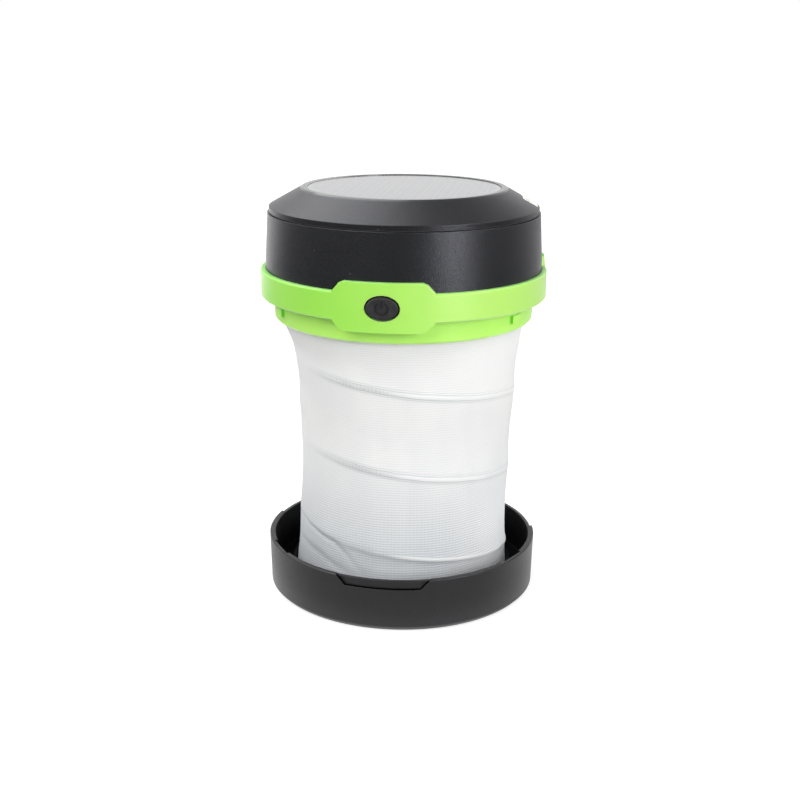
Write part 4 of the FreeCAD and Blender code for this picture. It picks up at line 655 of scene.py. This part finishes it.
shell_black = black_plastic(
    "shell_black", (13, 13, 16), 0.34, 0.55, (0.9, 0.91, 1.0), polish=rim_polish, painted_light=rim_painted_light, tip=even_wall
)
cup_black = black_plastic("cup_black", (13, 13, 14), 0.36, 0.5, (1.0, 0.96, 1.0), cup_shade, painted_light=foot_highlight)
finishes = {
    "black_plastic": shell_black,
    "green_plastic": lime_plastic(),
    "fabric": knit_cloth(),
    "spring_wire": bare_metal("spring_steel", (206, 208, 210), 0.28),
    "white_plastic": pale_plastic("white_plastic", (236, 236, 234)),
    "black_rubber": rubber("button_rubber", (31, 31, 33)),
    "solar_cell": solar_cells(),
    "circuit_board": circuit_board(),
    "steel": bare_metal("plated_steel", (190, 190, 188), 0.34),
    "lead_insulation": sleeve("lead_insulation", (176, 34, 30), (196, 52, 44)),
    "cell_wrap": sleeve("cell_wrap", (44, 92, 160), (58, 108, 178)),
    "led_phosphor": led_phosphor(),
    "port_plastic": pale_plastic("port_plastic", (228, 228, 225)),
    "tongue_plastic": pale_plastic("tongue_plastic", (206, 198, 182)),
    "switch_plastic": black_plastic("switch_plastic", (40, 40, 42), 0.4),
}
for row in frame["record"]["subparts"]:
    mesh = frame["nodes"][row["node"]].data
    mesh.materials.clear()
    mesh.materials.append(finishes[row["material_slot"]])
for name in ("base_cup", "base_plate"):
    frame["nodes"][name].data.materials[0] = cup_black

# Soft pieces
cloth, hem = shade_cloth(), top_hem()
path = coil_path(WIRE_STEPS)
outward = path * np.array([1, 1, 0])
wire = surface("coil_wire", tube(path, outward, WIRE / 2, WIRE_SIDES))
soft_pieces = (cloth, "fabric", "shade_fabric"), (hem, "fabric", None), (wire, "spring_wire", "coil_spring")
for piece, slot, replaced in soft_pieces:
    piece.data.materials.append(finishes[slot])
    if replaced:
        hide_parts(replaced)
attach(cloth, "base")
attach(wire, "base")
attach(hem, "head")
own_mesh(cloth)
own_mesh(wire)

# Sign on the button
mark_rubber = rubber("mark_rubber", (6, 6, 7))
for piece in power_mark():
    piece.data.materials.append(mark_rubber)
    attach(piece, "button")


# Floor and room
FLOOR_HALF, FLOOR_DROP = 3, 0.0003


def pale_floor():
    """Paper that is pale near the lantern and behind it, and grey elsewhere. A glow that only the camera sees
    makes all of it white, and gloss shows a glow behind the lantern, on its far side and under its foot."""
    p = Paint("pale_floor")
    direct, gloss = p.rays()
    x, y, _, reach = p.around()
    near, behind = reach.ramp(80, 320, 1.0, 0.0), y.ramp(220, 500) * x.ramp(0, 300, 1.0, 0.45)
    paper = p.mix(p.noise(40.0, 2.0), srgb(232, 232, 232), srgb(238, 238, 238))
    tone = p.mix(behind, p.mix(near, srgb(90, 90, 90), srgb(192, 192, 192)), paper)
    diffuse = p.node("ShaderNodeBsdfDiffuse", None, tone)[0]
    edge = y.ramp(-60, 60).math("MAXIMUM", reach.ramp(48, 56, 1.0, 0.0))
    shown = direct * (0.65 + (1 - near) * (1 - behind) * 0.3) + gloss * (behind + near * edge * 0.6)
    glow = p.node("ShaderNodeEmission", None, WHITE, shown)[0]
    both = p.node("ShaderNodeAddShader", None, diffuse, glow)[0]
    p.node("ShaderNodeOutputMaterial", None, both)
    return p.owner


def studio_room():
    """Soft light from all sides, less from above, from in front and from the right. The camera sees the room
    white, and gloss shows it white low down behind the lantern."""
    p = Paint("studio", bpy.data.worlds.new("studio"))
    direct, gloss = p.rays()
    across, ahead, above = p.axes(p.node("ShaderNodeTexCoord")[0])
    room = above.ramp(0.2, 0.8, 0.95, 0.37) * ahead.ramp(-0.8, -0.1, 0.48, 1.0)
    room = room * across.ramp(0.2, 0.8, 1.0, 0.75)
    backdrop = above.ramp(0.25, 0.5, 1.0, 0.0) * ahead.ramp(-0.3, 0.1) * across.ramp(0.4, 0.8, 1.0, 0.4)
    glow = p.node("ShaderNodeBackground", None, WHITE, room + (direct + gloss * backdrop) * (1 - room))[0]
    p.node("ShaderNodeOutputWorld", None, glow)
    return p.owner


signs = (-1, -1), (1, -1), (1, 1), (-1, 1)
corners = [(x * FLOOR_HALF, y * FLOOR_HALF, -FLOOR_DROP) for x, y in signs]
floor_mesh = bpy.data.meshes.new("floor")
floor_mesh.from_pydata(corners, [], [(0, 1, 2, 3)])
floor_mesh.materials.append(pale_floor())
floor = bpy.data.objects.new("floor", floor_mesh)
bpy.context.scene.collection.objects.link(floor)
bpy.context.scene.world = studio_room()

# Camera and lamps in metres, the lens in millimetres
AZIMUTH, PITCH, ROLL = math.radians(8.0), math.radians(16.653), math.radians(0.4)
REACH, ASIDE, HEIGHT = 0.4045, -0.0009, 0.1824
SENSOR, LENS = 36.0, 57.98
AIM = np.array([0, 0, 0.07])
# Each lamp: degrees round from the camera and up, distance, width, height, watts
LAMPS = {
    "key_light": (39, 14, 0.8, 0.22, 0.42, 3.4),
    "top_light": (-126, 57, 0.9, 0.8, 0.7, 4.7),
    "fill_light": (-42, 42, 0.8, 0.6, 0.6, 4.7),
    "side_light": (78, 42, 0.8, 0.5, 0.5, 2.0),
}


def looking(place, forward, roll=0.0):
    """Placement of a camera or lamp: its -z along forward, its x level, turned by roll about its axis."""
    forward = np.array(forward) / np.linalg.norm(forward)
    right = np.cross(forward, [0, 0, 1.0])
    right /= np.linalg.norm(right)
    up = np.cross(right, forward)
    placed = np.eye(4)
    placed[:3, :3] = np.stack([right, up, -forward], 1)
    placed[:3, 3] = place
    return Matrix(placed.tolist()) @ Matrix.Rotation(roll, 4, "Z")


def softbox(name, azimuth, elevation, distance, width, height, watts):
    """Flat lamp at a direction from the camera's side, aimed at the lantern."""
    a, e = AZIMUTH + math.radians(azimuth), math.radians(elevation)
    lamp = bpy.data.lights.new(name, "AREA")
    lamp.shape, lamp.size, lamp.size_y, lamp.energy = "RECTANGLE", width, height, watts
    piece = bpy.data.objects.new(name, lamp)
    back = np.array([math.sin(a) * math.cos(e), -math.cos(a) * math.cos(e), math.sin(e)])
    piece.matrix_world = looking(AIM + back * distance, -back)
    bpy.context.scene.collection.objects.link(piece)


for name, placing in LAMPS.items():
    softbox(name, *placing)

camera = bpy.data.cameras.new("camera")
camera.sensor_width, camera.lens = SENSOR, LENS
camera.clip_start, camera.clip_end = 0.01, 20.0
viewer = bpy.data.objects.new("camera", camera)
bpy.context.scene.collection.objects.link(viewer)
toward = np.array([-math.sin(AZIMUTH), math.cos(AZIMUTH), 0])
aside = np.array([math.cos(AZIMUTH), math.sin(AZIMUTH), 0])
upward = np.array([0, 0, 1.0])
spot = -toward * REACH + aside * ASIDE + upward * HEIGHT
viewer.matrix_world = looking(spot, toward * math.cos(PITCH) - upward * math.sin(PITCH), ROLL)
bpy.context.scene.camera = viewer
bpy.context.scene.view_settings.view_transform = "Standard"
